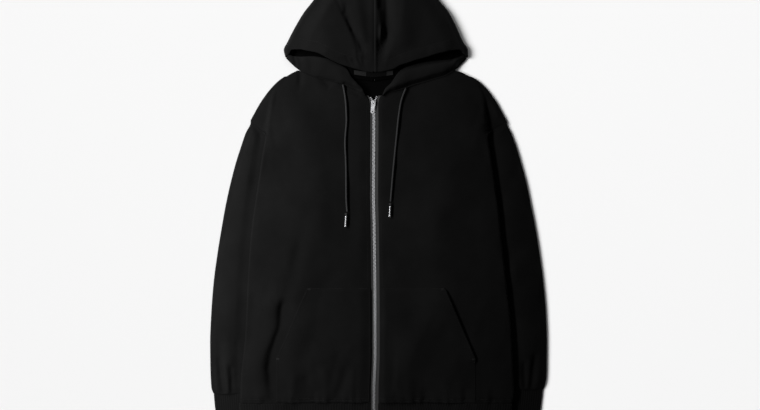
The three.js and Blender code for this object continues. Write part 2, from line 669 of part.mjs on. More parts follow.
function neckStrip(strip) {
  const rowAt = (share) =>
    steps(6).map((t) => {
      const x = strip.x + (t - 0.5) * strip.wide;
      const foot = valueAt(backTopEdge[x < 0 ? "left" : "right"], "x", x, "y") + tape.above;
      const y = foot + share * strip.tall;
      const risen = smooth((y - middleNeckY - neckClear) / neckTaper.length);
      const z = mix(neckTaper.low, hoodBase - hoodWall - hoodAir, risen);
      return point(x, y, z + strip.lift);
    });
  const inner = steps(3).map(rowAt);
  const outer = inner.map((row) => row.map((p) => point(p.x, p.y, p.z + strip.thick)));
  return wallBetween(outer, inner);
}

// The zip. Each side has its tape and its row of teeth, which part above the slider
const zip = {
  tapeWide: 14,
  tapeZ: 4.8,
  tapeThick: 0.8,
  toothWide: 2.75,
  toothZ: 4.1,
  toothThick: 2.4,
  top: neckDepth + 3,
  bottom: -hemBand + 6,
};
const sliderSize = { y: 600, long: 13, wide: 9.6, plate: 0.9, clear: 0.3 };
const zipHeights = [
  zip.top, 611, 607, 603, 600, 597, 594, 560, 500, 440, 380, 320, 260, 200, 150, 100, 60, 20, 1.2, 0.1, -30,
  zip.bottom,
];

function zipStrip(side, nearest, farthest, z, thick) {
  const rings = zipHeights.map((y) => {
    const from = zipX(y) + outward(side) * valueAt(zipSpread, "y", y, "spread");
    const a = from + outward(side) * nearest;
    const b = from + outward(side) * farthest(y);
    return [point(a, y, z), point(b, y, z), point(b, y, z + thick), point(a, y, z + thick)];
  });
  return bodyThrough(rings);
}

const tapeFrom = zip.toothWide + seam + 0.05;
const zipTeeth = (side) => zipStrip(side, 0, () => zip.toothWide, zip.toothZ, zip.toothThick);
// In the hem the tape is sewn between the rib's layers, and only the bare part is drawn
const tapeTo = (side) => (y) => (y > 0.5 ? tapeFrom + zip.tapeWide : bareTape[side] - seam - 0.1);
const zipTape = (side) => zipStrip(side, tapeFrom, tapeTo(side), zip.tapeZ, zip.tapeThick);

function block(x, y, z, wide, long, tall) {
  return new THREE.BoxGeometry(wide, long, tall).translate(x, y, z + tall / 2);
}

const topPlateZ = zip.toothZ + zip.toothThick + sliderSize.clear;
const pullAxis = { y: sliderSize.y + 2, z: topPlateZ + sliderSize.plate + 1.7 };

// The slider: two plates round the teeth, a wedge between the rows, and the bridge that holds the pull.
function slider() {
  const { y, long, wide, plate, clear } = sliderSize;
  const x = zipX(y);
  const lowPlateZ = zip.toothZ - clear - plate;
  const wedge = new THREE.Shape([
    new THREE.Vector2(-1.3, y + long / 2),
    new THREE.Vector2(1.3, y + long / 2),
    new THREE.Vector2(0, y + long / 2 - 3.4),
  ]);
  const post = new THREE.ExtrudeGeometry(wedge, { depth: topPlateZ - lowPlateZ, bevelEnabled: false });
  const shape = (half) => {
    const outline = new THREE.Shape();
    outline.moveTo(-half + 1, y - long / 2);
    outline.lineTo(half - 1, y - long / 2);
    outline.quadraticCurveTo(half - 0.6, y, half, y + long / 2 - 2);
    outline.lineTo(half - 1.6, y + long / 2);
    outline.lineTo(-half + 1.6, y + long / 2);
    outline.lineTo(-half, y + long / 2 - 2);
    outline.quadraticCurveTo(-half + 0.6, y, -half + 1, y - long / 2);
    return new THREE.ExtrudeGeometry(outline, { depth: plate, bevelEnabled: false, curveSegments: 4 });
  };
  const bridgeTop = pullAxis.z + 1.3;
  const bridge = new THREE.Shape();
  bridge.moveTo(-4.4, 0);
  bridge.lineTo(-3.6, bridgeTop - topPlateZ - plate);
  bridge.lineTo(-2.4, bridgeTop - topPlateZ - plate + 0.9);
  bridge.lineTo(2.4, bridgeTop - topPlateZ - plate + 0.9);
  bridge.lineTo(3.6, bridgeTop - topPlateZ - plate);
  bridge.lineTo(4.4, 0);
  const window = new THREE.Path();
  window.moveTo(-2.6, 0.25);
  window.lineTo(2.6, 0.25);
  window.lineTo(2.2, bridgeTop - topPlateZ - plate);
  window.lineTo(-2.2, bridgeTop - topPlateZ - plate);
  bridge.holes.push(window);
  const bridgeWide = 2.2;
  const arch = new THREE.ExtrudeGeometry(bridge, { depth: bridgeWide, bevelEnabled: false })
    .translate(0, 0, -bridgeWide / 2)
    .rotateX(Math.PI / 2)
    .rotateZ(Math.PI / 2)
    .translate(x, pullAxis.y, topPlateZ + plate - 0.1);
  return geometryOf(
    solidOf(shape(wide / 2).translate(x, 0, topPlateZ))
      .add(solidOf(shape(wide / 2).translate(x, 0, lowPlateZ)))
      .add(solidOf(post.translate(x, 0, lowPlateZ + 0.2)))
      .add(solidOf(arch)),
  );
}

// The pull tab: a bar through the bridge, two arms and a plate with a hole at its end.
const pull = { long: 23, wide: 7.4, thick: 1.2, barRadius: 0.8, turned: THREE.MathUtils.degToRad(-7) };

function pullTab() {
  const { long, wide, thick, barRadius } = pull;
  const outline = new THREE.Shape();
  outline.moveTo(-wide / 2 + 0.6, 0.6);
  outline.lineTo(wide / 2 - 0.6, 0.6);
  outline.lineTo(wide / 2, -1);
  outline.lineTo(wide / 2 - 0.5, -long + 3.2);
  outline.absarc(0, -long + 3.2, wide / 2 - 0.5, 0, -Math.PI, true);
  outline.lineTo(-wide / 2, -1);
  const gap = new THREE.Path();
  const gapHalf = 2;
  gap.moveTo(-gapHalf, -0.9);
  gap.lineTo(-gapHalf, -7.5);
  gap.lineTo(gapHalf, -7.5);
  gap.lineTo(gapHalf, -0.9);
  const hole = new THREE.Path();
  hole.absarc(0, -long + 3.4, 1.5, 0, 2 * Math.PI, false);
  outline.holes.push(gap, hole);
  const plate = new THREE.ExtrudeGeometry(outline, { depth: thick, bevelEnabled: false, curveSegments: 8 });
  const bar = new THREE.CylinderGeometry(barRadius, barRadius, wide - 1.2, 10).rotateZ(Math.PI / 2);
  const made = solidOf(plate.translate(0, 0, -thick / 2)).add(solidOf(bar));
  return geometryOf(made)
    .rotateX(THREE.MathUtils.degToRad(4))
    .rotateZ(pull.turned)
    .translate(zipX(sliderSize.y), pullAxis.y, pullAxis.z);
}

// The drawcords' free ends lie on the fronts, from the fold of the hood's edge to a metal tip
const cordRadius = 1.8;
const cordRoute = {
  left: table("x y", [
    [-61.8, 635.4], [-60, 627], [-57.6, 612], [-56, 597], [-55.2, 582], [-54.8, 562], [-56.6, 540],
    [-57.6, 518], [-56.4, 490], [-55.6, 462], [-55.4, 434], [-55.2, 410], [-54.4, 394], [-53.6, 384],
  ]),
  right: table("x y", [
    [63.2, 627.8], [59.4, 618.5], [54.6, 604], [51.6, 588], [48.8, 568], [46.6, 546], [44.4, 524],
    [42.2, 502], [39.8, 478], [37.4, 452], [35.4, 428], [33.4, 404],
  ]),
};
const cordEnd = {
  left: { knot: [-55.6, 377.4], tip: [-57.2, 349] },
  right: { knot: [32.6, 397.4], tip: [31.2, 371] },
};
const knotRadius = 3.1;
const tipShape = table("along radius", [
  [0, 0], [0, 2.4], [1.6, 2.5], [2.4, 2.5], [2.8, 1.9], [3.6, 1.9], [4, 2.2], [18.6, 2.2], [19.2, 2.6],
  [21.2, 2.6], [22.4, 1.6], [22.4, 0],
]);

const onFront = (x, y, height) => point(x, y, frontOver(x, y) + seam + height);

function cord(side) {
  const route = cordRoute[side];
  const [first, ...rest] = route;
  const start = point(first.x, first.y, bandGap + bandThick / 2);
  const points = [start, ...rest.map(({ x, y }) => onFront(x, y, cordRadius + 0.1))];
  const curve = new THREE.CatmullRomCurve3(points, false, "centripetal");
  const section = new THREE.Shape();
  section.absarc(0, 0, cordRadius, 0, 2 * Math.PI, false);
  return new THREE.ExtrudeGeometry(section, { steps: 27, extrudePath: curve, curveSegments: 4 });
}

function knot(side) {
  const [x, y] = cordEnd[side].knot;
  return new THREE.SphereGeometry(knotRadius, 8, 6).applyMatrix4(
    new THREE.Matrix4().setPosition(onFront(x, y, knotRadius)),
  );
}

function cordTip(side) {
  const [x, y] = cordEnd[side].knot;
  const [endX, endY] = cordEnd[side].tip;
  const way = point(endX - x, endY - y, 0).normalize();
  const start = onFront(x, y, 2.7).addScaledVector(way, knotRadius + seam);
  const profile = tipShape.map(({ along, radius }) => new THREE.Vector2(radius, along));
  const turned = new THREE.Quaternion().setFromUnitVectors(point(0, 1, 0), way);
  return new THREE.LatheGeometry(profile, 8).applyQuaternion(turned).translate(start.x, start.y, start.z);
}

// Colours and finishes
const cloth = (color, roughness) => new THREE.MeshStandardMaterial({ color, roughness, metalness: 0 });
const steel = new THREE.MeshStandardMaterial({ color: 0xb9bbbe, roughness: 0.3, metalness: 1 });
const fleeceBlack = cloth(0x17171a, 0.95);
const ribBlack = cloth(0x18181b, 0.92);
const zipGrey = cloth(0x4a4a4e, 0.85);
const labelBlack = cloth(0x101012, 0.6);
const cordGrey = cloth(0x3a3a3d, 0.8);

const garment = new THREE.Group();

function add(name, geometry, material) {
  const mesh = new THREE.Mesh(geometry, material);
  mesh.name = name;
  garment.add(mesh);
  return mesh;
}

add("back_panel", backPanel(), fleeceBlack);
add("hem_rib_back", hemBack(), ribBlack);
add("neck_tape", neckStrip(tape), zipGrey);
add("neck_label", neckStrip(label), labelBlack);
for (const side of ["left", "right"]) {
  add(`front_${side}`, frontPanel(side), fleeceBlack);
  add(`hem_rib_front_${side}`, hemFront(side), ribBlack);
  add(`pocket_${side}`, pocket(side), fleeceBlack);
  add(`sleeve_${side}`, sleeve(side), fleeceBlack);
  add(`cuff_${side}`, cuff(side), ribBlack);
  add(`hood_${side}`, hoodSide(side), fleeceBlack);
  add(`zip_tape_${side}`, zipTape(side), zipGrey);
  add(`zip_teeth_${side}`, zipTeeth(side), steel);
  add(`drawcord_${side}`, cord(side), cordGrey);
  add(`drawcord_knot_${side}`, knot(side), cordGrey);
  add(`drawcord_tip_${side}`, cordTip(side), steel);
}
add("zip_slider", slider(), steel);
add("zip_pull", pullTab(), steel);
const boxLong = 8;
const boxY = zip.bottom - seam - boxLong / 2;
add("zip_box", block(zipX(-hemBand), boxY, zip.toothZ - 0.2, 7, boxLong, 2.8), steel);

const box = new THREE.Box3().setFromObject(garment);
garment.position.set(-(box.min.x + box.max.x) / 2, -(box.min.y + box.max.y) / 2, -box.min.z);

export default garment;
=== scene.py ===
import math

import bpy
import numpy as np
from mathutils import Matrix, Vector


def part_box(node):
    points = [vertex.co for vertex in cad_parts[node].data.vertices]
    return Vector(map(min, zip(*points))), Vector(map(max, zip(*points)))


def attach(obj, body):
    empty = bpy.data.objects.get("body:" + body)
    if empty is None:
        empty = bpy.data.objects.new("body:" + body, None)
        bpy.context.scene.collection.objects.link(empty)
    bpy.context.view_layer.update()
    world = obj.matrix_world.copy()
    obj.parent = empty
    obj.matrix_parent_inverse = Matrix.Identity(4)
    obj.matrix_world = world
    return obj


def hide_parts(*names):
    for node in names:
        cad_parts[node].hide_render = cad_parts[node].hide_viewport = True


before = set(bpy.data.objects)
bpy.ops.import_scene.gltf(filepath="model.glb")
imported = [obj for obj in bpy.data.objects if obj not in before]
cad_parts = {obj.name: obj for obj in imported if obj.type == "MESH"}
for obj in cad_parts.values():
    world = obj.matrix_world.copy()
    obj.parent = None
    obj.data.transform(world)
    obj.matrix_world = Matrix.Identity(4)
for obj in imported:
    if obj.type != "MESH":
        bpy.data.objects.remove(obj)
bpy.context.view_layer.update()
bpy.ops.object.select_all(action="DESELECT")

# Everything below is in the maker's pattern millimetres, as the solids are: x to the viewer's right from the
# zip line, y up from the hem seam, z up from the table. home brings them into the frame.
home = (
    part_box("zip_box")[0].x * 1000 + 3.7,
    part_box("hem_rib_back")[0].y * 1000 + 66,
    0.0,
)


def toFrame(points):
    return (np.asarray(points, float) + home) / 1000


def outward(side):
    return -1 if side == "left" else 1


def addObject(name, data):
    made = bpy.data.objects.new(name, data)
    bpy.context.scene.collection.objects.link(made)
    return made


def pickOnly(made):
    bpy.ops.object.select_all(action="DESELECT")
    bpy.context.view_layer.objects.active = made
    made.select_set(True)


def lengthsAlong(points):
    # how far each point lies along the line through them all
    return np.concatenate([[0], np.cumsum(np.linalg.norm(np.diff(points, axis=0), axis=1))])


# Camera: straight above, 2 mm to a pixel of the photograph at the height of the fronts
shot = {"wide": 760, "tall": 410, "mmPerPixel": 2.0, "zipAt": 374, "hemAt": 403, "height": 2600, "focus": 9}


def makeCamera():
    data = bpy.data.cameras.new("camera")
    data.sensor_width = 36
    data.lens = data.sensor_width * (shot["height"] - shot["focus"]) / (shot["wide"] * shot["mmPerPixel"])
    camera = addObject("camera", data)
    x = (shot["wide"] / 2 - shot["zipAt"]) * shot["mmPerPixel"]
    y = (shot["hemAt"] - shot["tall"] / 2) * shot["mmPerPixel"]
    camera.location = toFrame((x, y, shot["height"]))
    bpy.context.scene.camera = camera


makeCamera()

# The cut and the lay of the cloth, as in the solids
cut = {
    "fleece": 2.6,
    "rib": 3.0,
    "hood": 4.4,
    "seam": 0.3,
    "bodyAir": 3.3,
    "ribAir": 0.6,
    "sleeveThick": 8.6,
    "sleeveLift": 9.0,
    "hoodAir": 3.6,
    "hemTall": 66,
    "pocketTop": 232,
    "bodyRoll": 4.25,
    "capStep": 8,
    "capInset": 2,
    "hemPinch": 1.8,
    "pinchReach": 14,
    "calmBesideZip": (34, 14),
    "lowestGap": 0.4,
    "bandGap": 9,
    "bandThick": 5.5,
    "crownTop": 900,
}
armholeTop = {"left": 564, "right": 562}
bareTape = {"left": 6.2, "right": 7.8}


def smoothCurve(rows):
    # a smooth curve through the rows, level past its ends, with no overshoot
    by, value = np.array(sorted(rows), float).T
    slope = np.diff(value) / np.diff(by)
    before, after = slope[:-1], slope[1:]
    total = np.where(before + after == 0, 1, before + after)
    inner = np.where(before * after <= 0, 0, 2 * before * after / total)
    tangent = np.concatenate([slope[:1], inner, slope[-1:]])

    def at(x):
        x = np.clip(np.asarray(x, float), by[0], by[-1])
        i = np.clip(np.searchsorted(by, x) - 1, 0, len(by) - 2)
        span = by[i + 1] - by[i]
        t = (x - by[i]) / span
        return (
            value[i] * (1 + 2 * t) * (1 - t) ** 2
            + value[i + 1] * (3 - 2 * t) * t * t
            + tangent[i] * span * t * (1 - t) ** 2
            - tangent[i + 1] * span * t * t * (1 - t)
        )

    return at


def mix(a, b, t):
    return a + (b - a) * t


def smooth(t):
    t = np.clip(t, 0, 1)
    return t * t * (3 - 2 * t)


def rise(value, start, over):
    # from 0 at the start to 1 at the end of the stretch after it
    return smooth((value - start) / over)


# Outlines in plan, (y, x)
bodyEdge = {
    "left": smoothCurve([
        (653, -180), (645, -191), (629, -207), (613, -219.5), (597, -230), (581, -239), (564, -246.5),
        (548, -229.6), (536, -217), (496, -223), (442, -231), (374, -241), (332, -246), (244, -252),
        (134, -257), (38, -266), (0, -267),
    ]),
    "right": smoothCurve([
        (652.5, 196), (645, 208.5), (629, 225.5), (613, 238), (597, 248.5), (581, 257), (562, 265.5),
        (548, 243), (538, 227), (500, 232), (440, 241), (390, 248), (340, 253), (280, 260), (220, 266.5),
        (160, 273), (60, 278), (24, 279), (0, 276),
    ]),
}
shoulderEnd = {"left": (-180, 653), "right": (196, 652.5)}
capCrease = {
    "left": smoothCurve([(650, -184), (630, -196), (606, -203), (578, -208), (536, -215), (500, -222)]),
    "right": smoothCurve([(650, 200), (630, 211), (606, 219), (560, 223), (538, 226), (500, 232)]),
}
raisedEdge = {
    "left": smoothCurve([
        (650, -184), (564, -172), (500, -154), (370, -120), (320, -132), (200, -166),
        (140, -174), (80, -192), (0, -202), (-66, -212),
    ]),
    "right": smoothCurve([
        (650, 200), (564, 190), (500, 172), (370, 140), (320, 150), (200, 180),
        (140, 190), (80, 204), (0, 212), (-66, 224),
    ]),
}
liftByHeight = smoothCurve([(650, 0), (600, 0.5), (555, 1), (-66, 1)])

# Top edges of the panels, (x, y) from the middle outwards
frontTopEdge = {
    "left": smoothCurve([
        (-7, 612), (-14, 614), (-22, 621), (-36, 633), (-52, 645), (-70, 655), (-88, 661.4),
        (-106, 667), (-130, 668), (-152, 665), (-166, 660.5), (-180, 653),
    ]),
    "right": smoothCurve([
        (8, 612), (15, 614), (24, 621), (38, 632), (54, 643), (72, 654), (90, 660.8),
        (112, 667), (136, 668.5), (160, 666.5), (180, 660.5), (196, 652.5),
    ]),
}
backTopEdge = {
    "left": smoothCurve([
        (0, 645), (-48, 652), (-80, 660), (-106, 667), (-130, 668), (-152, 665), (-166, 660.5), (-180, 653),
    ]),
    "right": smoothCurve([
        (0, 645), (52, 652), (86, 660), (112, 667), (136, 668.5), (160, 666.5), (180, 660.5), (196, 652.5),
    ]),
}
neckDepth = 612  # the zip's top end, above the hem seam

zipLine = smoothCurve([
    (620, -1.2), (560, -0.4), (420, -1), (345, 0.4), (200, 2), (100, 2.2), (20, -0.2), (-70, -0.2),
])
zipSpread = smoothCurve([(neckDepth + 3, 6.4), (611, 4.2), (607, 2.2), (596, 0.15), (-80, 0.15)])


def zipEdge(side, y):
    return zipLine(y) + outward(side) * (bareTape[side] + zipSpread(y))


# Folds: soft ridges (positive) and troughs (negative), (x1, y1, x2, y2, width, height)
bodyFolds = [
    (-132, 372, -150, 300, 16, -1.6), (-150, 300, -180, 190, 14, -1.8), (-180, 190, -190, 130, 12, -2.6),
    (-190, 130, -206, 70, 11, -2.8), (-206, 70, -210, 4, 10, -2.9), (-214, 190, -232, 60, 20, 2.4),
    (-160, 330, -205, 190, 26, 2.2), (-136, 46, -130, 3, 9, -1.6), (-120, 20, -122, 3, 6, -1.4),
    (-60, 66, -76, 3, 10, -1.6), (-100, 60, -98, 3, 11, 1.8), (-36, 60, -40, 3, 12, 1.6),
    (-160, 50, -164, 3, 9, 1.8), (138, 194, 44, 42, 30, 3.2), (124, 370, 118, 300, 24, 1.8),
    (40, 20, 36, 3, 7, -1.2), (104, 20, 106, 3, 8, -1.4), (182, 24, 184, 3, 9, -1.4),
    (238, 24, 240, 3, 8, -1.2), (70, 40, 72, 3, 12, 1.6), (144, 40, 146, 3, 12, 1.6),
    (-190, 604, -178, 560, 12, -1.4), (96, 560, 150, 470, 30, 1.4), (-150, 540, -110, 440, 30, 1.2),
]
hoodFolds = [
    (-40, 830, -20, 730, 10, 2.0), (56, 840, 56, 720, 16, 3), (-124, 800, -96, 712, 24, 2.4),
    (150, 772, 178, 716, 24, 5.0), (98, 784, 88, 738, 20, -2.4), (0, 850, 0, 680, 9, 2.6),
]
hoodCreases = [
    (((-60, 800), (-50, 764), (-37, 736), (-26, 712), (-19, 694)), 5, 8, -4.6),
    (((24, 880), (25, 806), (29, 764), (26, 728), (13, 690)), 15, 9, -12),
    (((14, 758), (13, 722)), 3.5, 3.5, 6),
    (((-46, 688), (-34, 672)), 4, 4, -2.6),
    (((-34, 692), (-26, 676)), 3, 3, -1.6),
    (((-22, 690), (-20, 668)), 3.5, 3.5, -1.2),
    (((-128, 812), (-136, 770), (-150, 730)), 22, 10, 2.0),
]


def curveThrough(points, count):
    # Catmull-Rom points, evenly spread
    p = np.asarray(points, float)
    p = np.concatenate([[2 * p[0] - p[1]], p, [2 * p[-1] - p[-2]]])
    fine = []
    for a, b, c, d in zip(p[:-3], p[1:-2], p[2:-1], p[3:]):
        for t in np.linspace(0, 1, 24, endpoint=False):
            fine.append(
                0.5 * (2 * b + (c - a) * t + (2 * a - 5 * b + 4 * c - d) * t * t
                       + (3 * b - a - 3 * c + d) * t ** 3)
            )
    fine.append(p[-2])
    fine = np.array(fine)
    length = lengthsAlong(fine)
    even = np.linspace(0, length[-1], count)
    return np.stack([np.interp(even, length, fine[:, k]) for k in range(3)], axis=1)


def relief(folds, x, y):
    total = np.zeros(np.broadcast(x, y).shape)
    for x1, y1, x2, y2, width, height in folds:
        dx, dy = x2 - x1, y2 - y1
        along = np.clip(((x - x1) * dx + (y - y1) * dy) / (dx * dx + dy * dy), 0, 1)
        away = np.hypot(x - x1 - along * dx, y - y1 - along * dy) / width
        total = total + height * np.exp(-(away ** 2))
    return total


def creased(creases, x, y):
    # creases down a line of points: ((points), width on the left, width on the right, height)
    x, y = np.broadcast_arrays(x, y)
    total = np.zeros(x.shape)
    for points, before, after, height in creases:
        line = curveThrough([(*p, 0) for p in points], 8 * len(points))
        reach = 2.6 * max(before, after)
        low, high = line.min(axis=0) - reach, line.max(axis=0) + reach
        close = (x > low[0]) & (x < high[0]) & (y > low[1]) & (y < high[1])
        if not close.any():
            continue
        px, py = x[close], y[close]
        away = np.hypot(px[:, None] - line[:, 0], py[:, None] - line[:, 1])
        nearest = away.argmin(axis=1)
        onRight = px > line[nearest, 0]
        fading = smooth((np.minimum(nearest, len(line) - 1 - nearest) + 2) / 9)
        share = np.exp(-((away.min(axis=1) / np.where(onRight, after, before)) ** 2))
        total[close] += height * fading * share
    return total


def softWaves(x, y, seed, longest, height):
    # an uneven, gentle lie of the cloth: a few long waves in mixed directions
    random = np.random.default_rng(seed)
    total = 0
    for _ in range(9):
        turn = random.uniform(0, math.pi)
        length = longest * random.uniform(0.45, 1)
        start = random.uniform(0, 2 * math.pi)
        total = total + np.sin((x * math.cos(turn) + y * math.sin(turn)) * 2 * math.pi / length + start)
    return height * total / 3


def bySide(x, table, y):
    return np.where(x < 0, table["left"](y), table["right"](y))


# The body rises over the sleeves on a ramp, which is steeper low on the left
ramp = {"wide": 110, "steep": 60, "steepBelow": 200, "easing": 150, "inside": 30, "capAbove": 500}


def backUnder(x, y):
    out = np.where(x < 0, -1.0, 1.0)
    raisedAt = bySide(x, raisedEdge, y)
    eased = mix(ramp["steep"], ramp["wide"], rise(y, ramp["steepBelow"], ramp["easing"]))
    widest = np.where(x < 0, eased, ramp["wide"])
    overSleeve = 1 - smooth((raisedAt - x) * out / np.minimum(widest, np.abs(raisedAt) - ramp["inside"]))
    pastCrease = (x - bySide(x, capCrease, y)) * out + cut["capInset"]
    onCap = np.where(y > ramp["capAbove"], 1 - smooth(pastCrease / cut["capStep"]), 1.0)
    return cut["sleeveLift"] * liftByHeight(y) * overSleeve * onCap


def frontOver(x, y):
    # the front's height in the solids: calm beside the zip, pinched at the hem seam
    calm = rise(np.abs(x - zipLine(y)), *cut["calmBesideZip"])
    pinched = cut["bodyAir"] - calm * cut["hemPinch"] * (1 - smooth(y / cut["pinchReach"]))
    gap = np.maximum(cut["lowestGap"], pinched + calm * relief(bodyFolds, x, y))
    return backUnder(x, y) + 2 * cut["fleece"] + gap


# Finer creases than the solids have, and puckers along the sewn edges
fineFolds = [
    (-146, 330, -160, 280, 8, -0.7), (-222, 240, -238, 120, 9, 0.8), (-118, 470, -96, 380, 16, 0.5),
    (-74, 96, -84, 40, 7, -0.8), (-128, 120, -112, 60, 9, -0.6), (-48, 110, -64, 60, 9, 0.5),
    (186, 120, 170, 50, 12, -0.5), (216, 200, 196, 120, 10, 0.5),
    (222, 330, 190, 250, 14, -0.4), (176, 430, 200, 330, 18, -0.4), (70, 420, 96, 330, 16, 0.4),
    (-149, 664, -148, 634, 4, -1.8), (-170, 640, -158, 606, 9, 0.6), (-108, 648, -84, 640, 4, -1.6),
    (-66, 636, -30, 616, 4, -1.4), (-100, 642, -92, 630, 4, -0.8),
    (-112, 632, -92, 606, 7, 0.5), (150, 640, 132, 600, 12, 0.5), (212, 590, 196, 550, 6, -0.6),
    (214, 560, 202, 520, 6, 0.5), (-206, 560, -196, 516, 6, -0.6), (-206, 480, -186, 430, 10, 0.5),
]
bodyCreases = [
    (((-178, 214), (-180, 180), (-181, 160), (-186, 140), (-196, 116), (-202, 92), (-201, 66), (-197, 38),
      (-189, 2)), 9, 24, -3.4),
    (((-192, 214), (-196, 180), (-197, 155), (-205, 130), (-216, 108), (-222, 86), (-221, 60), (-217, 30),
      (-210, 0)), 24, 9, 4.2),
    (((-150, 668), (-148, 650), (-150, 636)), 3.5, 8, -2.4),
    (((-108, 648), (-96, 640), (-86, 630)), 3, 6, -2.4),
    (((-54, 638), (-42, 630), (-30, 622)), 3, 5, -2.2),
    (((-200, 631), (-206, 606), (-211, 566), (-213, 546), (-217, 541), (-221, 516)), 2.4, 2.4, 0.8),
    (((-194, 630), (-197, 604), (-201, 578)), 4, 4, -1.0),
    (((240, 614), (252, 570)), 9, 9, 2.6),
    (((-54, 74), (-62, 40), (-76, 8)), 7, 11, -1.7),
    (((-136, 66), (-130, 36), (-122, 8)), 7, 9, -1.2),
    (((-76, 12), (-78, 2)), 4, 5, -2.0),
    (((-120, 12), (-120, 2)), 4, 5, -1.8),
    (((-160, 12), (-163, 2)), 4, 6, -1.3),
    (((102, 12), (104, 2)), 4, 5, -1.8),
    (((182, 12), (184, 2)), 4, 6, -1.8),
    (((236, 12), (238, 2)), 4, 6, -1.3),
    (((38, 14), (36, 2)), 4, 6, -1.2),
    (((124, 204), (84, 120), (58, 48)), 26, 12, 1.6),
]


def puckers(distance, along, seed, pitch, reach, height):
    # short gathers at right angles to a sewn edge, dying out within reach of it
    random = np.random.default_rng(seed)
    wave = 0
    for _ in range(5):
        wave = wave + np.sin(along * 2 * math.pi / (pitch * random.uniform(0.7, 1.6)) + random.uniform(0, 6.3))
    return height * wave / 2.2 * np.exp(-np.maximum(distance, 0) / reach)


# The fronts and pockets are pressed flat along the zip
zipPress = {
    "depth": 2.35,
    "leftReach": 25,
    "rightReach": 12,
    "leftPocket": 1.3,
    "rightPocket": 2.0,
    "tapeTop": 5.75,
    "atTape": 24,
}
topStitch = {"y": 5.2, "width": 1.5, "depth": 0.9}
longWaves = (5, 150, 0.75)  # the draw, the longest wave and its height
shortWaves = (17, 60, 0.14)


def pressReach(x, y):
    return np.where(x < zipLine(y), zipPress["leftReach"], zipPress["rightReach"])


def frontTop(x, y):
    # the front's upper side: its creases go down to the layers below and no further
    level = frontOver(x, y) + frontLook(x, y)
    spare = level - backUnder(x, y) - 2 * cut["fleece"] - 0.15
    return level + 0.5 * np.log1p(np.exp(-np.clip(spare, -8, 8) / 0.5))


def frontLook(x, y):
    # what the fine cloth adds to the solids' height
    fromZip = np.abs(x - zipLine(y)) - 6
    settle = smooth(fromZip / 20)
    look = (relief(fineFolds, x, y) + softWaves(x, y, *longWaves) + softWaves(x, y, *shortWaves)) * settle
    look = look + creased(bodyCreases, x, y) + puckers(y, x, 8, 17, 11, 0.5) * smooth(fromZip / 30)
    uneven = 0.6 + 0.4 * np.sin(x / 7.3) * np.sin(x / 17 + 1)
    fromStitch = (y - topStitch["y"]) / topStitch["width"]
    look = look - topStitch["depth"] * uneven * np.exp(-(fromStitch ** 2)) * settle
    look = look - zipPress["depth"] * (1 - smooth(fromZip / pressReach(x, y)))
    look = look + puckers(fromZip, y, 9, 24, 9, 0.16)
    toEdge = np.abs(bySide(x, bodyEdge, y) - x)
    return look * smooth((toEdge - 2) / 12)


class Shell:
    # gathers the points and faces of one piece of cloth
    def __init__(self):
        self.points = []
        self.faces = []
        self.uvs = []
        # faces marked as inside take the lining, whose dark tone is painted shade
        self.shadedInside = []
        self.count = 0

    def add(self, points, uvs):
        flat = np.asarray(points, float).reshape(-1, 3)
        first = self.count
        self.points.append(flat)
        self.uvs.append(np.asarray(uvs, float).reshape(-1, 2))
        self.count += len(flat)
        return first + np.arange(len(flat)).reshape(np.asarray(points).shape[:-1])

    def quads(self, a, b, c, d, shadedInside=0):
        self.faces.append(np.stack([a.ravel(), b.ravel(), c.ravel(), d.ravel()], axis=1))
        self.shadedInside.append(shadedInside)


def normalsOf(grid, around=False):
    if around:
        across = np.roll(grid, -1, axis=1) - np.roll(grid, 1, axis=1)
    else:
        across = np.gradient(grid, axis=1)
    along = np.gradient(grid, axis=0)
    normal = np.cross(across, along)
    return normal / np.maximum(np.linalg.norm(normal, axis=2, keepdims=True), 1e-9)


def clothUvs(grid):
    # metres along the cloth, so that a weave keeps its size
    stepX = np.linalg.norm(np.diff(grid, axis=1), axis=2)
    u = np.concatenate([np.zeros((len(grid), 1)), np.cumsum(stepX, axis=1)], axis=1)
    stepY = np.linalg.norm(np.diff(grid, axis=0), axis=2).mean(axis=1)
    v = np.concatenate([[0], np.cumsum(stepY)])
    return np.stack([u - u.mean(axis=1, keepdims=True), np.broadcast_to(v[:, None], u.shape)], axis=2) / 1000


def edgeOf(grid):
    return np.concatenate([grid[0, :-1], grid[:-1, -1], grid[-1, :0:-1], grid[:0:-1, 0]])


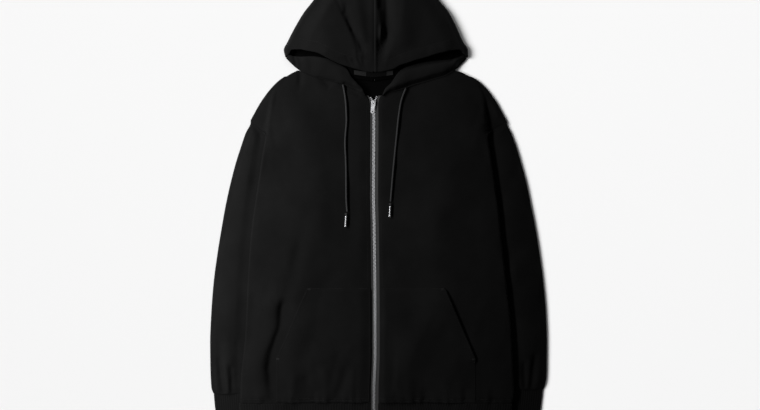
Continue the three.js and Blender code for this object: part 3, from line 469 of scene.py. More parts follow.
def clothMesh(name, outer, inner, around=False, rim=3, bulge=None):
    # a closed wall between two grids, its edges turned over in a half round
    shell = Shell()
    uvs = clothUvs(outer)
    o = shell.add(outer, uvs)
    i = shell.add(inner, uvs)
    for ids, shadedInside in ((o, 0), (i, 1)):
        wide = np.concatenate([ids, ids[:, :1]], axis=1) if around else ids
        corners = wide[:-1, :-1], wide[:-1, 1:], wide[1:, 1:], wide[1:, :-1]
        shell.quads(*(corners[-k] if shadedInside else corners[k] for k in range(4)), shadedInside)
    if around:
        edges = [(lambda grid: grid[0], outer[0] - outer[1]), (lambda grid: grid[-1], outer[-1] - outer[-2])]
    else:
        near = np.pad(outer, ((1, 1), (1, 1), (0, 0)), mode="edge")
        inward = (near[:-2, 1:-1] + near[2:, 1:-1] + near[1:-1, :-2] + near[1:-1, 2:]) / 4
        edges = [(edgeOf, edgeOf(outer) - edgeOf(inward))]
    for pick, out in edges:
        top, bottom, uv = pick(outer), pick(inner), pick(uvs)
        half = (top - bottom) / 2
        size = np.linalg.norm(half, axis=1, keepdims=True)
        across = half / np.maximum(size, 1e-9)
        out = out - across * (out * across).sum(axis=1, keepdims=True)
        out = out / np.maximum(np.linalg.norm(out, axis=1, keepdims=True), 1e-9) * size
        if bulge is not None:
            out = out * pick(bulge)
        layers = [pick(o)]
        for k in range(1, rim + 1):
            angle = math.pi / 2 - math.pi * k / (rim + 1)
            layers.append(shell.add((top + bottom) / 2 + half * math.sin(angle) + out * math.cos(angle), uv))
        layers.append(pick(i))
        for a, b in zip(layers[:-1], layers[1:]):
            corners = a, b, np.roll(b, -1), np.roll(a, -1)
            shell.quads(*(corners if pick is edges[0][0] else corners[::-1]))
    return finishMesh(name, shell)


def closeEnd(shell, ids, rings, uv, end, centre, steps):
    # closes a tube's end with smaller rings, (size, push), and a flat cap
    ring = ids[end]
    for size, push in steps:
        smaller = shell.add(centre + (rings[end] - centre) * size + push, uv[end])
        a, b = (smaller, ring) if end == 0 else (ring, smaller)
        shell.quads(a, np.roll(a, -1), np.roll(b, -1), b)
        ring = smaller
    for k in range(len(ring) // 2 - 1):
        four = [ring[k], ring[k + 1], ring[-2 - k], ring[-1 - k]]
        shell.faces.append(np.array([four[::-1] if end == 0 else four]))
        shell.shadedInside.append(0)


def finishMesh(name, shell):
    points = toFrame(np.concatenate(shell.points))
    points[:, 2] = np.maximum(points[:, 2], 0)
    faces = np.concatenate(shell.faces)
    uvs = np.concatenate(shell.uvs)
    a, b, c, d = (points[faces[:, k]] for k in range(4))
    volume = (a * np.cross(b, c)).sum() + (a * np.cross(c, d)).sum()
    if volume < 0:
        faces = faces[:, ::-1]
    mesh = bpy.data.meshes.new(name)
    mesh.from_pydata(points.tolist(), [], faces.tolist())
    mesh.polygons.foreach_set("use_smooth", np.ones(len(faces), bool))
    shadedInside = np.concatenate([np.full(len(some), mark) for some, mark in zip(shell.faces, shell.shadedInside)])
    mesh.polygons.foreach_set("material_index", shadedInside)
    layer = mesh.uv_layers.new(name="cloth")
    layer.data.foreach_set("uv", uvs[faces.ravel()].ravel())
    mesh.validate()
    return addObject(name, mesh)


def wallBehind(outer, wall, facing):
    # the inner side of a cloth wall, square to its outer side, which faces up (1) or down (-1)
    normal = normalsOf(outer)
    if normal[..., 2].mean() * facing < 0:
        normal = -normal
    return outer - normal * wall


def dress(made, material, slot, body, *nodes):
    inside = np.zeros(len(made.data.polygons), int)
    made.data.polygons.foreach_get("material_index", inside)
    made.data.materials.clear()
    made.data.materials.append(material)
    # inner faces take the lining, a darker tone that is painted shade
    if inside.any():
        made.data.materials.append(paintedShadeLining)
        made.data.polygons.foreach_set("material_index", inside)
    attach(made, body)
    if nodes:
        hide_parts(*nodes)
    return made


def sharpSeams(made):
    # a seam's square edge shades as an edge, and a turned one as a round
    pickOnly(made)
    bpy.ops.object.shade_smooth_by_angle(angle=math.radians(56))


def surfaceArea(made):
    mesh = made.data
    sizes = np.zeros(len(mesh.polygons))
    mesh.polygons.foreach_get("area", sizes)
    return float(sizes.sum())


# Shader maths: a value that adds its own nodes
class Value:
    def __init__(self, paint, socket):
        self.paint = paint
        self.socket = socket

    def math(self, operation, other):
        return self.paint.node("ShaderNodeMath", {"operation": operation}, [self, other])

    def __add__(self, other):
        return self.math("ADD", other)

    def __sub__(self, other):
        return self.math("SUBTRACT", other)

    def __mul__(self, other):
        return self.math("MULTIPLY", other)

    def clamped(self, low=0.0, high=1.0):
        return self.math("MAXIMUM", low).math("MINIMUM", high)


class Paint:
    # one material and its nodes
    def __init__(self, name, roughness, **fixed):
        self.material = bpy.data.materials.new(name)
        self.material.use_nodes = True
        self.tree = self.material.node_tree
        self.shader = self.tree.nodes["Principled BSDF"]
        self.shader.inputs["Roughness"].default_value = roughness
        for socket, value in fixed.items():
            self.shader.inputs[socket].default_value = value

    def node(self, kind, settings=None, inputs=(), output=0):
        made = self.tree.nodes.new(kind)
        for name, value in (settings or {}).items():
            setattr(made, name, value)
        pairs = inputs.items() if isinstance(inputs, dict) else enumerate(inputs)
        for key, value in pairs:
            if isinstance(value, Value):
                self.tree.links.new(value.socket, made.inputs[key])
            else:
                made.inputs[key].default_value = value
        return Value(self, made.outputs[output])

    def place(self, turn=0.0, source="Object"):
        spot = self.node("ShaderNodeTexCoord", output=source)
        return self.node("ShaderNodeMapping", inputs={"Vector": spot, "Rotation": (0, 0, math.radians(turn))})

    def noise(self, vector, scale, detail=2.0, roughness=0.5):
        return self.node(
            "ShaderNodeTexNoise",
            inputs={"Vector": vector, "Scale": scale, "Detail": detail, "Roughness": roughness},
        )

    def wave(self, vector, pitch, direction="X", distortion=0.0):
        # bands a pitch apart, in metres
        return self.node(
            "ShaderNodeTexWave",
            {"bands_direction": direction, "wave_type": "BANDS"},
            {"Vector": vector, "Scale": math.pi / 10 / pitch, "Distortion": distortion},
            output="Fac",
        )

    def set(self, socket, value):
        self.tree.links.new(value.socket, self.shader.inputs[socket])

    def tint(self, tones, share):
        # the base colour between a material's dark and light tones
        dark, light = (np.broadcast_to(tone, 3) for tone in finish[tones])
        inputs = {"Factor": share, 6: (*dark, 1), 7: (*light, 1)}
        self.set("Base Color", self.node("ShaderNodeMix", {"data_type": "RGBA"}, inputs, output=2))

    def bump(self, height, strength, distance):
        made = self.node(
            "ShaderNodeBump", inputs={"Strength": strength, "Distance": distance, "Height": height},
            output="Normal",
        )
        self.set("Normal", made)


# The dark and the light tone of each material in scene light, grey unless three numbers are given
finish = {
    "fleece": (0.0070, 0.0170),
    # painted shade: the lining's tones are darker than the fleece's, standing in for the shade down the neck
    # and inside the hood
    "paintedShadeLining": (0.0020, 0.0040),
    "rib": (0.0075, 0.0160),
    "tape": (0.055, 0.135),
    "neckTape": (0.016, 0.034),
    "cord": ((0.030, 0.030, 0.031), (0.085, 0.085, 0.087)),
    "silver": ((0.30, 0.305, 0.32), (0.66, 0.665, 0.68)),
    # painted highlight: this thread is black, toned a little lighter than the fleece to stand in for the light
    # its stitches catch
    "threadHighlight": (0.011, 0.024),
    "darkThread": (0.007, 0.011),
    "label": (0.004, 0.008),
}
stitchPitch = 0.0013  # metres from wale to wale
brushed = {"Specular IOR Level": 0.1, "Sheen Weight": 0.03, "Sheen Roughness": 0.5}


def makeFleece():
    paint = Paint("blackFleece", 0.92, **brushed)
    cloth = paint.place(source="UV")
    wales = paint.wave(cloth, stitchPitch)
    courses = paint.wave(cloth, stitchPitch * 1.3, "Y", 0.6)
    nap = paint.noise(cloth, 900, 3.0, 0.65)
    patches = paint.noise(paint.place(), 13, 3.0, 0.55)
    tone = (patches - 0.5) * 1.1 + (nap - 0.5) * 1.1 + 0.5
    paint.tint("fleece", tone.clamped())
    paint.set("Roughness", ((nap - 0.5) * 0.2 + 0.9).clamped())
    paint.bump(wales * 0.25 + courses * 0.2 + nap * 0.7, 0.5, 0.0005)
    return paint.material


def makeShadedLining():
    # painted shade: the fleece's plain side, seen only down the neck and in the folds of the hood, toned far
    # darker than the fleece so that it stands in for the shade in those hollows
    paint = Paint("innerJersey", 0.95, **{"Specular IOR Level": 0.05})
    cloth = paint.place(source="UV")
    wales = paint.wave(cloth, 0.0012)
    nap = paint.noise(cloth, 900, 2.0, 0.6)
    paint.tint("paintedShadeLining", (wales * 0.4 + nap * 0.6).clamped())
    paint.bump(wales, 0.4, 0.0003)
    return paint.material


def makeRib():
    paint = Paint("blackRib", 0.9, **brushed)
    cloth = paint.place(source="UV")
    wales = paint.wave(cloth, 0.0011)
    courses = paint.wave(cloth, 0.0014, "Y", 0.5)
    nap = paint.noise(cloth, 800, 3.0, 0.6)
    tone = (nap - 0.5) * 1.1 + courses * 0.2 + 0.4
    paint.tint("rib", tone.clamped())
    paint.bump(wales * 0.5 + courses * 0.35 + nap * 0.4, 0.5, 0.0005)
    return paint.material


def makeTape(name, tones):
    paint = Paint(name, 0.85, **{"Specular IOR Level": 0.3})
    weave = paint.wave(paint.place(turn=35), 0.0009)
    nap = paint.noise(paint.place(), 1200, 2.0)
    paint.tint(tones, weave * 0.7 + nap * 0.3)
    paint.bump(weave, 0.5, 0.0003)
    return paint.material


def makeCordCloth():
    paint = Paint("braidedCord", 0.8, **{"Specular IOR Level": 0.3, "Sheen Weight": 0.08})
    left, right = (paint.wave(paint.place(turn, "UV"), 0.0010) for turn in (33, -33))
    plait = left.math("MAXIMUM", right)
    paint.tint("cord", plait)
    paint.bump(plait, 0.8, 0.0004)
    return paint.material


def makeSilver():
    paint = Paint("silverMetal", 0.4, Metallic=1.0)
    shade = paint.noise(paint.place(), 400, 2.0)
    wear = paint.noise(paint.place(), 1500, 3.0)
    paint.tint("silver", (shade * 0.6 + 0.55).clamped())
    paint.set("Roughness", (wear * 0.22 + 0.28).clamped())
    return paint.material


def makeThread(name, tones):
    paint = Paint(name, 0.7, **{"Specular IOR Level": 0.35, "Sheen Weight": 0.1})
    paint.tint(tones, paint.wave(paint.place(turn=40), 0.0004))
    return paint.material


def makeLabelSatin():
    paint = Paint("labelSatin", 0.75, **{"Specular IOR Level": 0.08})
    satin = paint.wave(paint.place(), 0.0005, "Y")
    nap = paint.noise(paint.place(), 900, 2.0)
    paint.tint("label", satin * 0.5 + nap * 0.5)
    paint.bump(satin, 0.3, 0.0002)
    return paint.material


fleece = makeFleece()
paintedShadeLining = makeShadedLining()
ribKnit = makeRib()
tapeCloth = makeTape("zipTape", "tape")
neckTapeCloth = makeTape("neckTape", "neckTape")
cordCloth = makeCordCloth()
silver = makeSilver()
threadHighlight = makeThread("blackThread", "threadHighlight")
darkThread = makeThread("fleeceThread", "darkThread")
# the hem's stitches are real thread, but take the lining's near-black painted-shade tones so that they also
# stand in for the shade of the puckered hem seam
hemThread = makeThread("hemThread", "paintedShadeLining")
labelSatin = makeLabelSatin()
print("materials made")

carried = {
    "zip_tape_left": tapeCloth,
    "zip_tape_right": tapeCloth,
    "neck_tape": neckTapeCloth,
    "neck_label": labelSatin,
}
for node, material in carried.items():
    for holder in bpy.data.objects[node].material_slots:
        holder.material = material

# Drawcords: the free ends, from the fold of the hood's edge to the knot, and a metal tip below it
drawcords = {
    "radius": 1.8,
    "knotRadius": 3.1,
    "knotLoop": 0.62,
    "knotCord": 1.15,
    "tipLift": 2.7,
    "tipEased": 0.12,
    "left": [
        (-61.8, 635.4), (-60, 627), (-57.6, 612), (-56, 597), (-55.2, 582), (-54.8, 562), (-56.6, 540),
        (-57.6, 518), (-56.4, 490), (-55.6, 462), (-55.4, 434), (-55.2, 410), (-54.4, 394), (-53.6, 384),
    ],
    "right": [
        (63.2, 627.8), (59.4, 618.5), (54.6, 604), (51.6, 588), (48.8, 568), (46.6, 546), (44.4, 524),
        (42.2, 502), (39.8, 478), (37.4, 452), (35.4, 428), (33.4, 404),
    ],
    "knot": {"left": (-55.6, 377.4), "right": (32.6, 397.4)},
    "tip": {"left": (-57.2, 349), "right": (31.2, 371)},
    "tipProfile": [
        (0, 0), (0, 2.4), (1.6, 2.5), (2.4, 2.5), (2.8, 1.9), (3.6, 1.9), (4, 2.2), (18.6, 2.2), (19.2, 2.6),
        (21.2, 2.6), (22.4, 1.6), (22.4, 0),
    ],
}


def onFront(x, y, height):
    return np.array([x, y, float(frontOver(np.array(x), np.array(y))) + cut["seam"] + height])


def tubeAlong(name, path, radius, sides, closedLoop=False):
    # a round tube along a path, its ends closed by smaller rings
    tangent = np.gradient(path, axis=0)
    if closedLoop:
        tangent = np.roll(path, -1, axis=0) - np.roll(path, 1, axis=0)
    tangent /= np.linalg.norm(tangent, axis=1, keepdims=True)
    up = np.array([0.0, 0.0, 1.0])
    frames = []
    for t in tangent:
        across = np.cross(t, up)
        across /= max(np.linalg.norm(across), 1e-9)
        up = np.cross(across, t)
        frames.append((across, up))
    angles = np.linspace(0, 2 * math.pi, sides, endpoint=False)
    rings = np.array([
        p + radius * (np.cos(angles)[:, None] * a + np.sin(angles)[:, None] * u)
        for p, (a, u) in zip(path, frames)
    ])
    shell = Shell()
    length = lengthsAlong(path) / 1000
    uv = np.stack(np.broadcast_arrays(angles * radius / 1000, length[:, None]), axis=2)
    ids = shell.add(rings, uv)
    nextRow = np.roll(ids, -1, axis=0) if closedLoop else ids[1:]
    thisRow = ids if closedLoop else ids[:-1]
    shell.quads(thisRow, np.roll(thisRow, -1, 1), np.roll(nextRow, -1, 1), nextRow)
    for end, facing in () if closedLoop else ((0, -1), (-1, 1)):
        push = tangent[end] * facing * radius
        turns = [k * math.pi / 6 for k in (1, 2, 3)]
        steps = [(max(math.cos(angle), 0.02), push * math.sin(angle)) for angle in turns]
        closeEnd(shell, ids, rings, uv, end, path[end], steps)
    return finishMesh(name, shell)


def makeKnot(side):
    # an overhand knot pulled tight
    x, y = drawcords["knot"][side]
    centre = onFront(x, y, drawcords["knotRadius"])
    t = np.linspace(0, 2 * math.pi, 96, endpoint=False)
    loop = np.stack([
        np.sin(t) + 2 * np.sin(2 * t), (np.cos(t) - 2 * np.cos(2 * t)) * 1.15, -np.sin(3 * t) * 1.3,
    ], axis=1) * drawcords["knotLoop"]
    made = tubeAlong(f"cordKnot_{side}", centre + loop, drawcords["knotCord"], 10, closedLoop=True)
    return dress(made, cordCloth, "cord", "garment", f"drawcord_knot_{side}")


def makeTip(side):
    # turned from its profile with the spin tool
    x, y = drawcords["knot"][side]
    endX, endY = drawcords["tip"][side]
    way = Vector((endX - x, endY - y, 0)).normalized()
    start = Vector(onFront(x, y, drawcords["tipLift"])) + way * (drawcords["knotRadius"] + cut["seam"])
    mesh = bpy.data.meshes.new(f"cordTip_{side}")
    profile = drawcords["tipProfile"]
    mesh.from_pydata([(r, 0, a) for a, r in profile], [(k, k + 1) for k in range(len(profile) - 1)], [])
    made = addObject(f"cordTip_{side}", mesh)
    pickOnly(made)
    bpy.ops.object.mode_set(mode="EDIT")
    bpy.ops.mesh.select_all(action="SELECT")
    bpy.ops.mesh.spin(steps=24, angle=2 * math.pi, center=(0, 0, 0), axis=(0, 0, 1))
    bpy.ops.mesh.select_all(action="SELECT")
    bpy.ops.mesh.remove_doubles(threshold=0.001)
    bpy.ops.mesh.normals_make_consistent(inside=False)
    bpy.ops.object.mode_set(mode="OBJECT")
    bevelEdges(made, drawcords["tipEased"], 2)
    turned = Vector((0, 0, 1)).rotation_difference(way).to_matrix()
    for vertex in mesh.vertices:
        vertex.co = turned @ vertex.co + start
    placeMesh(made)
    return dress(made, silver, "metal", "garment", f"drawcord_tip_{side}")


def bevelEdges(made, width, segments, angle=40):
    pickOnly(made)
    bevel = made.modifiers.new("edges", "BEVEL")
    bevel.width = width
    bevel.segments = segments
    bevel.limit_method = "ANGLE"
    bevel.angle_limit = math.radians(angle)
    bpy.ops.object.modifier_apply(modifier=bevel.name)
    bpy.ops.object.shade_smooth_by_angle(angle=math.radians(38))


def placeMesh(made):
    # from pattern millimetres to the frame
    mesh = made.data
    points = np.zeros(len(mesh.vertices) * 3)
    mesh.vertices.foreach_get("co", points)
    mesh.vertices.foreach_set("co", toFrame(points.reshape(-1, 3)).ravel())
    mesh.update()


def makeCord(side):
    route = drawcords[side]
    radius = drawcords["radius"]
    first = (*route[0], cut["bandGap"] + cut["bandThick"] / 2)
    points = [first] + [tuple(onFront(x, y, radius + 0.1)) for x, y in route[1:]]
    path = curveThrough(points, 150)
    cord = tubeAlong(f"cord_{side}", path, radius, 14)
    dress(cord, cordCloth, "cord", "garment", f"drawcord_{side}")
    knot = makeKnot(side)
    tip = makeTip(side)


for side in ("left", "right"):
    makeCord(side)


# Body panels. Rows fan out from the top edge as far as the armhole seam, and then keep one height.
fineness = {
    "fanRows": 26,
    "rows": 170,
    "columns": 84,
    "roll": 8,
    "backFanRows": 14,
    "backRows": 60,
    "backColumns": 34,
    "backRoll": 6,
}


def panelPlan(side, topEdge, middle, topX, fanRows, rows, columns, lowest):
    out = outward(side)
    endX, endY = shoulderEnd[side]
    t = np.linspace(0, 1, columns)
    shares = np.concatenate([np.linspace(0, 1, fanRows, endpoint=False), np.ones(rows)])
    feet = np.concatenate([
        np.full(fanRows, armholeTop[side]),
        np.linspace(armholeTop[side], lowest, rows),
    ])
    x = np.zeros((len(feet), columns))
    y = np.zeros_like(x)
    for r, (share, foot) in enumerate(zip(shares, feet)):
        edgeX = float(bodyEdge[side](mix(endY, foot, share))) - out * cut["bodyRoll"]
        y[r] = mix(topEdge(mix(topX, endX, t)), foot, share)
        x[r] = mix(middle(y[r]), edgeX, t)
    return x, y


def withRoll(side, x, y, z, radius, middle, up, count):
    # the panel and the quarter roll at the body's side edge, whose curve starts level above (1) or below (-1)
    angles = math.pi / 2 * (1 - np.arange(1, count + 1) / count)
    wide, tall = (radius[:, None] * part(angles) for part in (np.cos, np.sin))
    rolledX = x[:, -1:] + outward(side) * wide
    rolledZ = middle[:, None] + up * np.maximum(0.15, tall)
    rolled = np.stack([rolledX, np.broadcast_to(y[:, -1:], wide.shape), rolledZ], axis=2)
    return np.concatenate([np.stack([x, y, z], axis=2), rolled], axis=1)


def rollRadius(x, y):
    return (frontOver(x, y) - backUnder(x, y)) / 2


# At the armhole the front's edge is sewn down flat, from the underarm (low) to the shoulder (high)
armhole = {"low": 527, "lowFade": 8, "high": 557, "highFade": 7, "turned": 0.35, "round": 0.96}


def makeFront(side):
    rimHalf = cut["fleece"] / 2
    zipSide = lambda y: zipEdge(side, y) + outward(side) * rimHalf
    x, y = panelPlan(
        side, frontTopEdge[side], zipSide, float(zipEdge(side, neckDepth)),
        fineness["fanRows"], fineness["rows"], fineness["columns"], rimHalf - 0.2,
    )
    z = frontTop(x, y)
    edge = x[:, -1], y[:, -1]
    radius = rollRadius(*edge)
    outer = withRoll(side, x, y, z, radius, backUnder(*edge) + radius, 1, fineness["roll"])
    rolled = outer[:, -fineness["roll"]:]
    sewn = rise(rolled[..., 1], armhole["low"], armhole["lowFade"])
    sewn = sewn * (1 - rise(rolled[..., 1], armhole["high"], armhole["highFade"]))
    rolled[..., 2] = mix(rolled[..., 2], z[:, -1:] - armhole["turned"], sewn)
    inner = wallBehind(outer, cut["fleece"], 1)
    atZip = np.abs(outer[..., 0] - zipLine(outer[..., 1])) < zipPress["atTape"]
    inner[..., 2] = np.where(atZip, np.maximum(inner[..., 2], zipPress["tapeTop"]), inner[..., 2])
    rounded = np.ones((*outer.shape[:2], 1))
    rounded[:, -fineness["roll"]:, 0] -= armhole["round"] * sewn
    made = clothMesh(f"front_{side}_cloth", outer, inner, bulge=rounded)
    sharpSeams(made)
    return dress(made, fleece, "fleece", "garment", f"front_{side}")


def backSheet(name, halves, wall, rim, material, slot, node):
    # a back sheet from its left and right halves, facing down
    outer = np.concatenate([halves[0][:, :0:-1], halves[1]], axis=1)
    made = clothMesh(name, outer, wallBehind(outer, wall, -1), rim=rim)
    return dress(made, material, slot, "garment", node)


def makeBack():
    halves = []
    for side in ("left", "right"):
        x, y = panelPlan(
            side, backTopEdge[side], lambda y: 0 * y, 0.0,
            fineness["backFanRows"], fineness["backRows"], fineness["backColumns"], 1.1,
        )
        z = backUnder(x, y)
        radius = rollRadius(x[:, -1], y[:, -1])
        halves.append(withRoll(side, x, y, z, radius, z[:, -1] + radius, -1, fineness["backRoll"]))
    return backSheet("back_panel_cloth", halves, cut["fleece"], 2, fleece, "fleece", "back_panel")


# Pockets: laid on the fronts, the slanted opening standing a little away
pockets = {
    "left": [(232, -134), (90, -196), (1, -196)],
    "right": [(232, 142), (90, 203), (1, 204)],
    "inset": 1.2,
    "rows": 96,
    "columns": 76,
    "openingLift": {"left": 0.2, "right": 1.1},
    "openingPress": {"left": 2.2, "right": 0},
    "pressed": 2.62,
    "bend": 90,
    "opens": (0.6, 0.4),
    "opensAbove": (80, 30),
    "sewnSide": (0.8, 0.18),
    "sewnBelow": (76, 12),
    "sewnTop": (-8, 6),
    "edgePress": (0.78, 0.2),
    "topPuckers": (21, 19, 7, 0.14),
    "footPuckers": (8, 17, 10, 0.25),
}


def pocketEdgeX(side, y):
    top, bend, foot = pockets[side]
    upper = mix(bend[1], top[1], (y - bend[0]) / (top[0] - bend[0]))
    lower = mix(foot[1], bend[1], (y - foot[0]) / (bend[0] - foot[0]))
    return np.where(y > bend[0], upper, lower)


def pocketOver(side, x, y):
    start = zipEdge(side, y)
    share = np.clip((x - start) / (pocketEdgeX(side, y) - start), 0, 1)
    belowTop = cut["pocketTop"] - y
    stands = rise(share, *pockets["opens"]) * rise(y, *pockets["opensAbove"]) * smooth(belowTop / 24)
    lift = pockets["openingLift"][side] * stands
    sewnSide = rise(share, *pockets["sewnSide"]) * (1 - rise(y, *pockets["sewnBelow"]))
    sewnTop = rise(-belowTop, *pockets["sewnTop"]) * (1 - stands)
    pressed = pockets["pressed"] * np.maximum(sewnSide, sewnTop)
    pressed = np.maximum(pressed, pockets["openingPress"][side] * rise(share, *pockets["edgePress"]))
    look = puckers(belowTop, x, *pockets["topPuckers"]) + puckers(y, x, *pockets["footPuckers"])
    besideZip = 1 - rise(np.abs(x - start), 2, pressReach(x, y))
    pressed = np.maximum(pressed, zipPress[side + "Pocket"] * besideZip)
    return frontTop(x, y) + cut["seam"] + 0.15 + lift + cut["fleece"] + look * 0.8 - pressed


def makePocket(side):
    rimHalf = cut["fleece"] / 2
    t = np.linspace(0, 1, pockets["columns"])[None, :]
    y = np.linspace(cut["pocketTop"] - rimHalf, rimHalf + 0.4, pockets["rows"])[:, None] * np.ones_like(t)
    start = zipEdge(side, y) + outward(side) * (pockets["inset"] + rimHalf)
    end = pocketEdgeX(side, y) - outward(side) * rimHalf
    x = mix(start, end, t)
    z = pocketOver(side, x, y)
    outer = np.stack([x, y, z], axis=2)
    inner = np.stack([x, y, frontTop(x, y) + cut["seam"]], axis=2)
    inner[..., 2] = np.maximum(inner[..., 2], z - cut["fleece"])
    made = clothMesh(f"pocket_{side}_cloth", outer, inner)
    return dress(made, fleece, "fleece", "garment", f"pocket_{side}")


# Hem rib
hem = {
    "left": smoothCurve([(0, -269), (-66, -264)]),
    "right": smoothCurve([(0, 276), (-66, 270)]),
    "roll": 3.3,
    "pitch": 5.2,
    "relief": 0.42,
    "rows": 30,
    "perRib": 8,
    "backRows": 12,
    "backColumns": 70,
}


def ribs(count):
    return 0.5 + 0.5 * np.cos(2 * math.pi * count)


def makeHemFront(side):
    out = outward(side)
    rimHalf = cut["rib"] / 2
    levels = np.linspace(-rimHalf + 0.2, -cut["hemTall"] + rimHalf, hem["rows"])
    columns = int(hem["perRib"] * 262 / hem["pitch"])
    t = np.linspace(0, 1, columns)[None, :]
    y = levels[:, None] * np.ones((1, columns))
    edgeX = hem[side](levels)[:, None] - out * hem["roll"]
    start = zipEdge(side, levels)[:, None] + out * rimHalf
    x = mix(start, edgeX, t)
    across = np.abs(edgeX - start) * t
    count = np.round(np.abs(edgeX - start) / hem["pitch"])
    raised = ribs(t * count) * hem["relief"] * smooth(t * 60) * smooth((1 - t) * 60)
    level = backUnder(x, y) + 2 * cut["rib"] + cut["ribAir"]
    pull = puckers(-y, across * out, 31, 26, 16, 0.5) + softWaves(x, y, 14, 110, 0.22)
    z = level + raised + pull * smooth((1 - t) * 14) * smooth(t * 14)
    radius = np.full(len(levels), hem["roll"])
    outer = withRoll(side, x, y, z, radius, z[:, -1] - radius, 1, fineness["backRoll"])
    inner = outer.copy()
    inner[..., 2] -= cut["rib"] * 0.93
    inner[:, -fineness["backRoll"]:, 0] -= out * np.linspace(0.4, 2.6, fineness["backRoll"])
    made = clothMesh(f"hem_front_{side}_rib", outer, inner)
    return dress(made, ribKnit, "rib", "garment", f"hem_rib_front_{side}")


def makeHemBack():
    levels = np.linspace(-1.3, -cut["hemTall"] + 1.5, hem["backRows"])
    halves = []
    for side in ("left", "right"):
        t = np.linspace(0, 1, hem["backColumns"])[None, :]
        y = levels[:, None] * np.ones_like(t)
        x = (hem[side](levels)[:, None] - outward(side) * hem["roll"]) * t
        z = backUnder(x, y)
        radius = np.full(len(levels), hem["roll"])
        halves.append(withRoll(side, x, y, z, radius, z[:, -1] + radius, -1, fineness["backRoll"]))
    return backSheet("hem_back_rib", halves, cut["rib"], 3, ribKnit, "rib", "hem_rib_back")


# Sleeves: flattened tubes, (outX, outY, inX, inY) rings from the armhole to the cuff
sleeveRings = {
    "left": [
        (-247.1, 562.2, -213.6, 530.4), (-257.2, 540, -203, 503), (-267.4, 510, -190, 470),
        (-277, 480, -172, 440), (-287.4, 440, -152, 408), (-297.3, 395, -136, 375), (-305.3, 350, -140, 340),
        (-313.5, 300, -150, 300), (-321.4, 240, -166, 240), (-326, 180, -182, 180), (-328.4, 120, -190, 120),
        (-327.8, 70, -205, 70), (-326.8, 44, -209, 44), (-325.6, 29, -212, 29), (-322, 19, -222, 19),
    ],
    "right": [
        (266.5, 559.6, 224, 531.4), (275, 540, 213, 503), (286, 510, 204, 470), (294.8, 480, 188, 440),
        (305.6, 440, 170, 408), (314.8, 395, 154, 375), (323.6, 350, 158, 340), (331.6, 300, 166, 300),
        (339.4, 240, 180, 240), (344.4, 180, 194, 180), (346.4, 120, 203, 120), (346, 74, 214, 74),
        (345.4, 52, 218, 52), (343.4, 38, 222, 38), (339.8, 28, 232, 28),
    ],
}
sleeve = {
    "rows": 150,
    "face": 64,
    "tucked": 4.4,
    "high": {"left": 4.0, "right": 1.6},
    "crest": {"left": 1.2, "right": 1.0},
    "deepest": -2.8,
    "gathered": 0.16,
    "gatherReach": 14,
    "sewn": 0.03,
    "sewnReach": 8,
}
cuff = {"rows": 26, "face": 170, "pitch": 4.4, "relief": 0.38, "wall": 0.9}
cuffRings = {
    "left": [(-321.2, 18.7, -228, 18.7), (-320, 4, -228, 4), (-317, -24, -226, -24), (-314, -48, -224, -48)],
    "right": [(338.4, 27.7, 240, 27.7), (336.8, 12, 240, 12), (333.6, -16, 238, -16), (330.6, -40, 236, -40)],
}
sleeveFolds = [
    (-310, 84, -300, 24, 6, -2.6), (-286, 70, -284, 24, 5, -2.4), (-297, 76, -291, 24, 6, 1.6),
    (-276, 60, -272, 24, 6, 1.4), (-319, 150, -300, 60, 12, 1), (322, 92, 314, 34, 6, -2.4),
    (300, 76, 302, 34, 5, -2.2), (311, 80, 308, 34, 6, 1.5), (-290, 380, -262, 350, 14, -1),
    (300, 470, 270, 440, 14, -1.2), (310, 300, 280, 270, 18, 0.9),
]
sleeveFineFolds = [
    (-316, 60, -314, 24, 4, 0.9), (-304, 120, -306, 60, 8, -0.8), (-280, 110, -276, 50, 7, -0.7),
    (-270, 160, -268, 70, 9, 0.6), (-300, 230, -286, 160, 12, 0.5), (-258, 70, -262, 24, 5, -0.8),
    (-306, 44, -304, 24, 4, -0.9), (-290, 50, -292, 24, 4, 0.8), (330, 62, 326, 34, 5, 0.8),
    (334, 130, 322, 80, 9, -0.6), (290, 110, 296, 50, 8, -0.6), (318, 200, 300, 130, 12, 0.5),
    (-312, 134, -306, 60, 8, -1.8), (-272, 120, -270, 34, 5, -1.8), (-292, 130, -290, 50, 9, 1.2),
    (292, 44, 294, 34, 4, 0.8), (-270, 470, -250, 440, 8, 0.4), (290, 420, 262, 390, 12, 0.5),
]


def ringColumns(rings, count, byOuter=False):
    # the rings' columns at evenly spread places along the tube's middle or its outer line
    table = np.array(rings, float)
    line = table[:, :2] if byOuter else (table[:, :2] + table[:, 2:]) / 2
    along = lengthsAlong(line)
    where = np.linspace(0, along[-1], count)
    return [smoothCurve(list(zip(along, column)))(where) for column in table.T], where


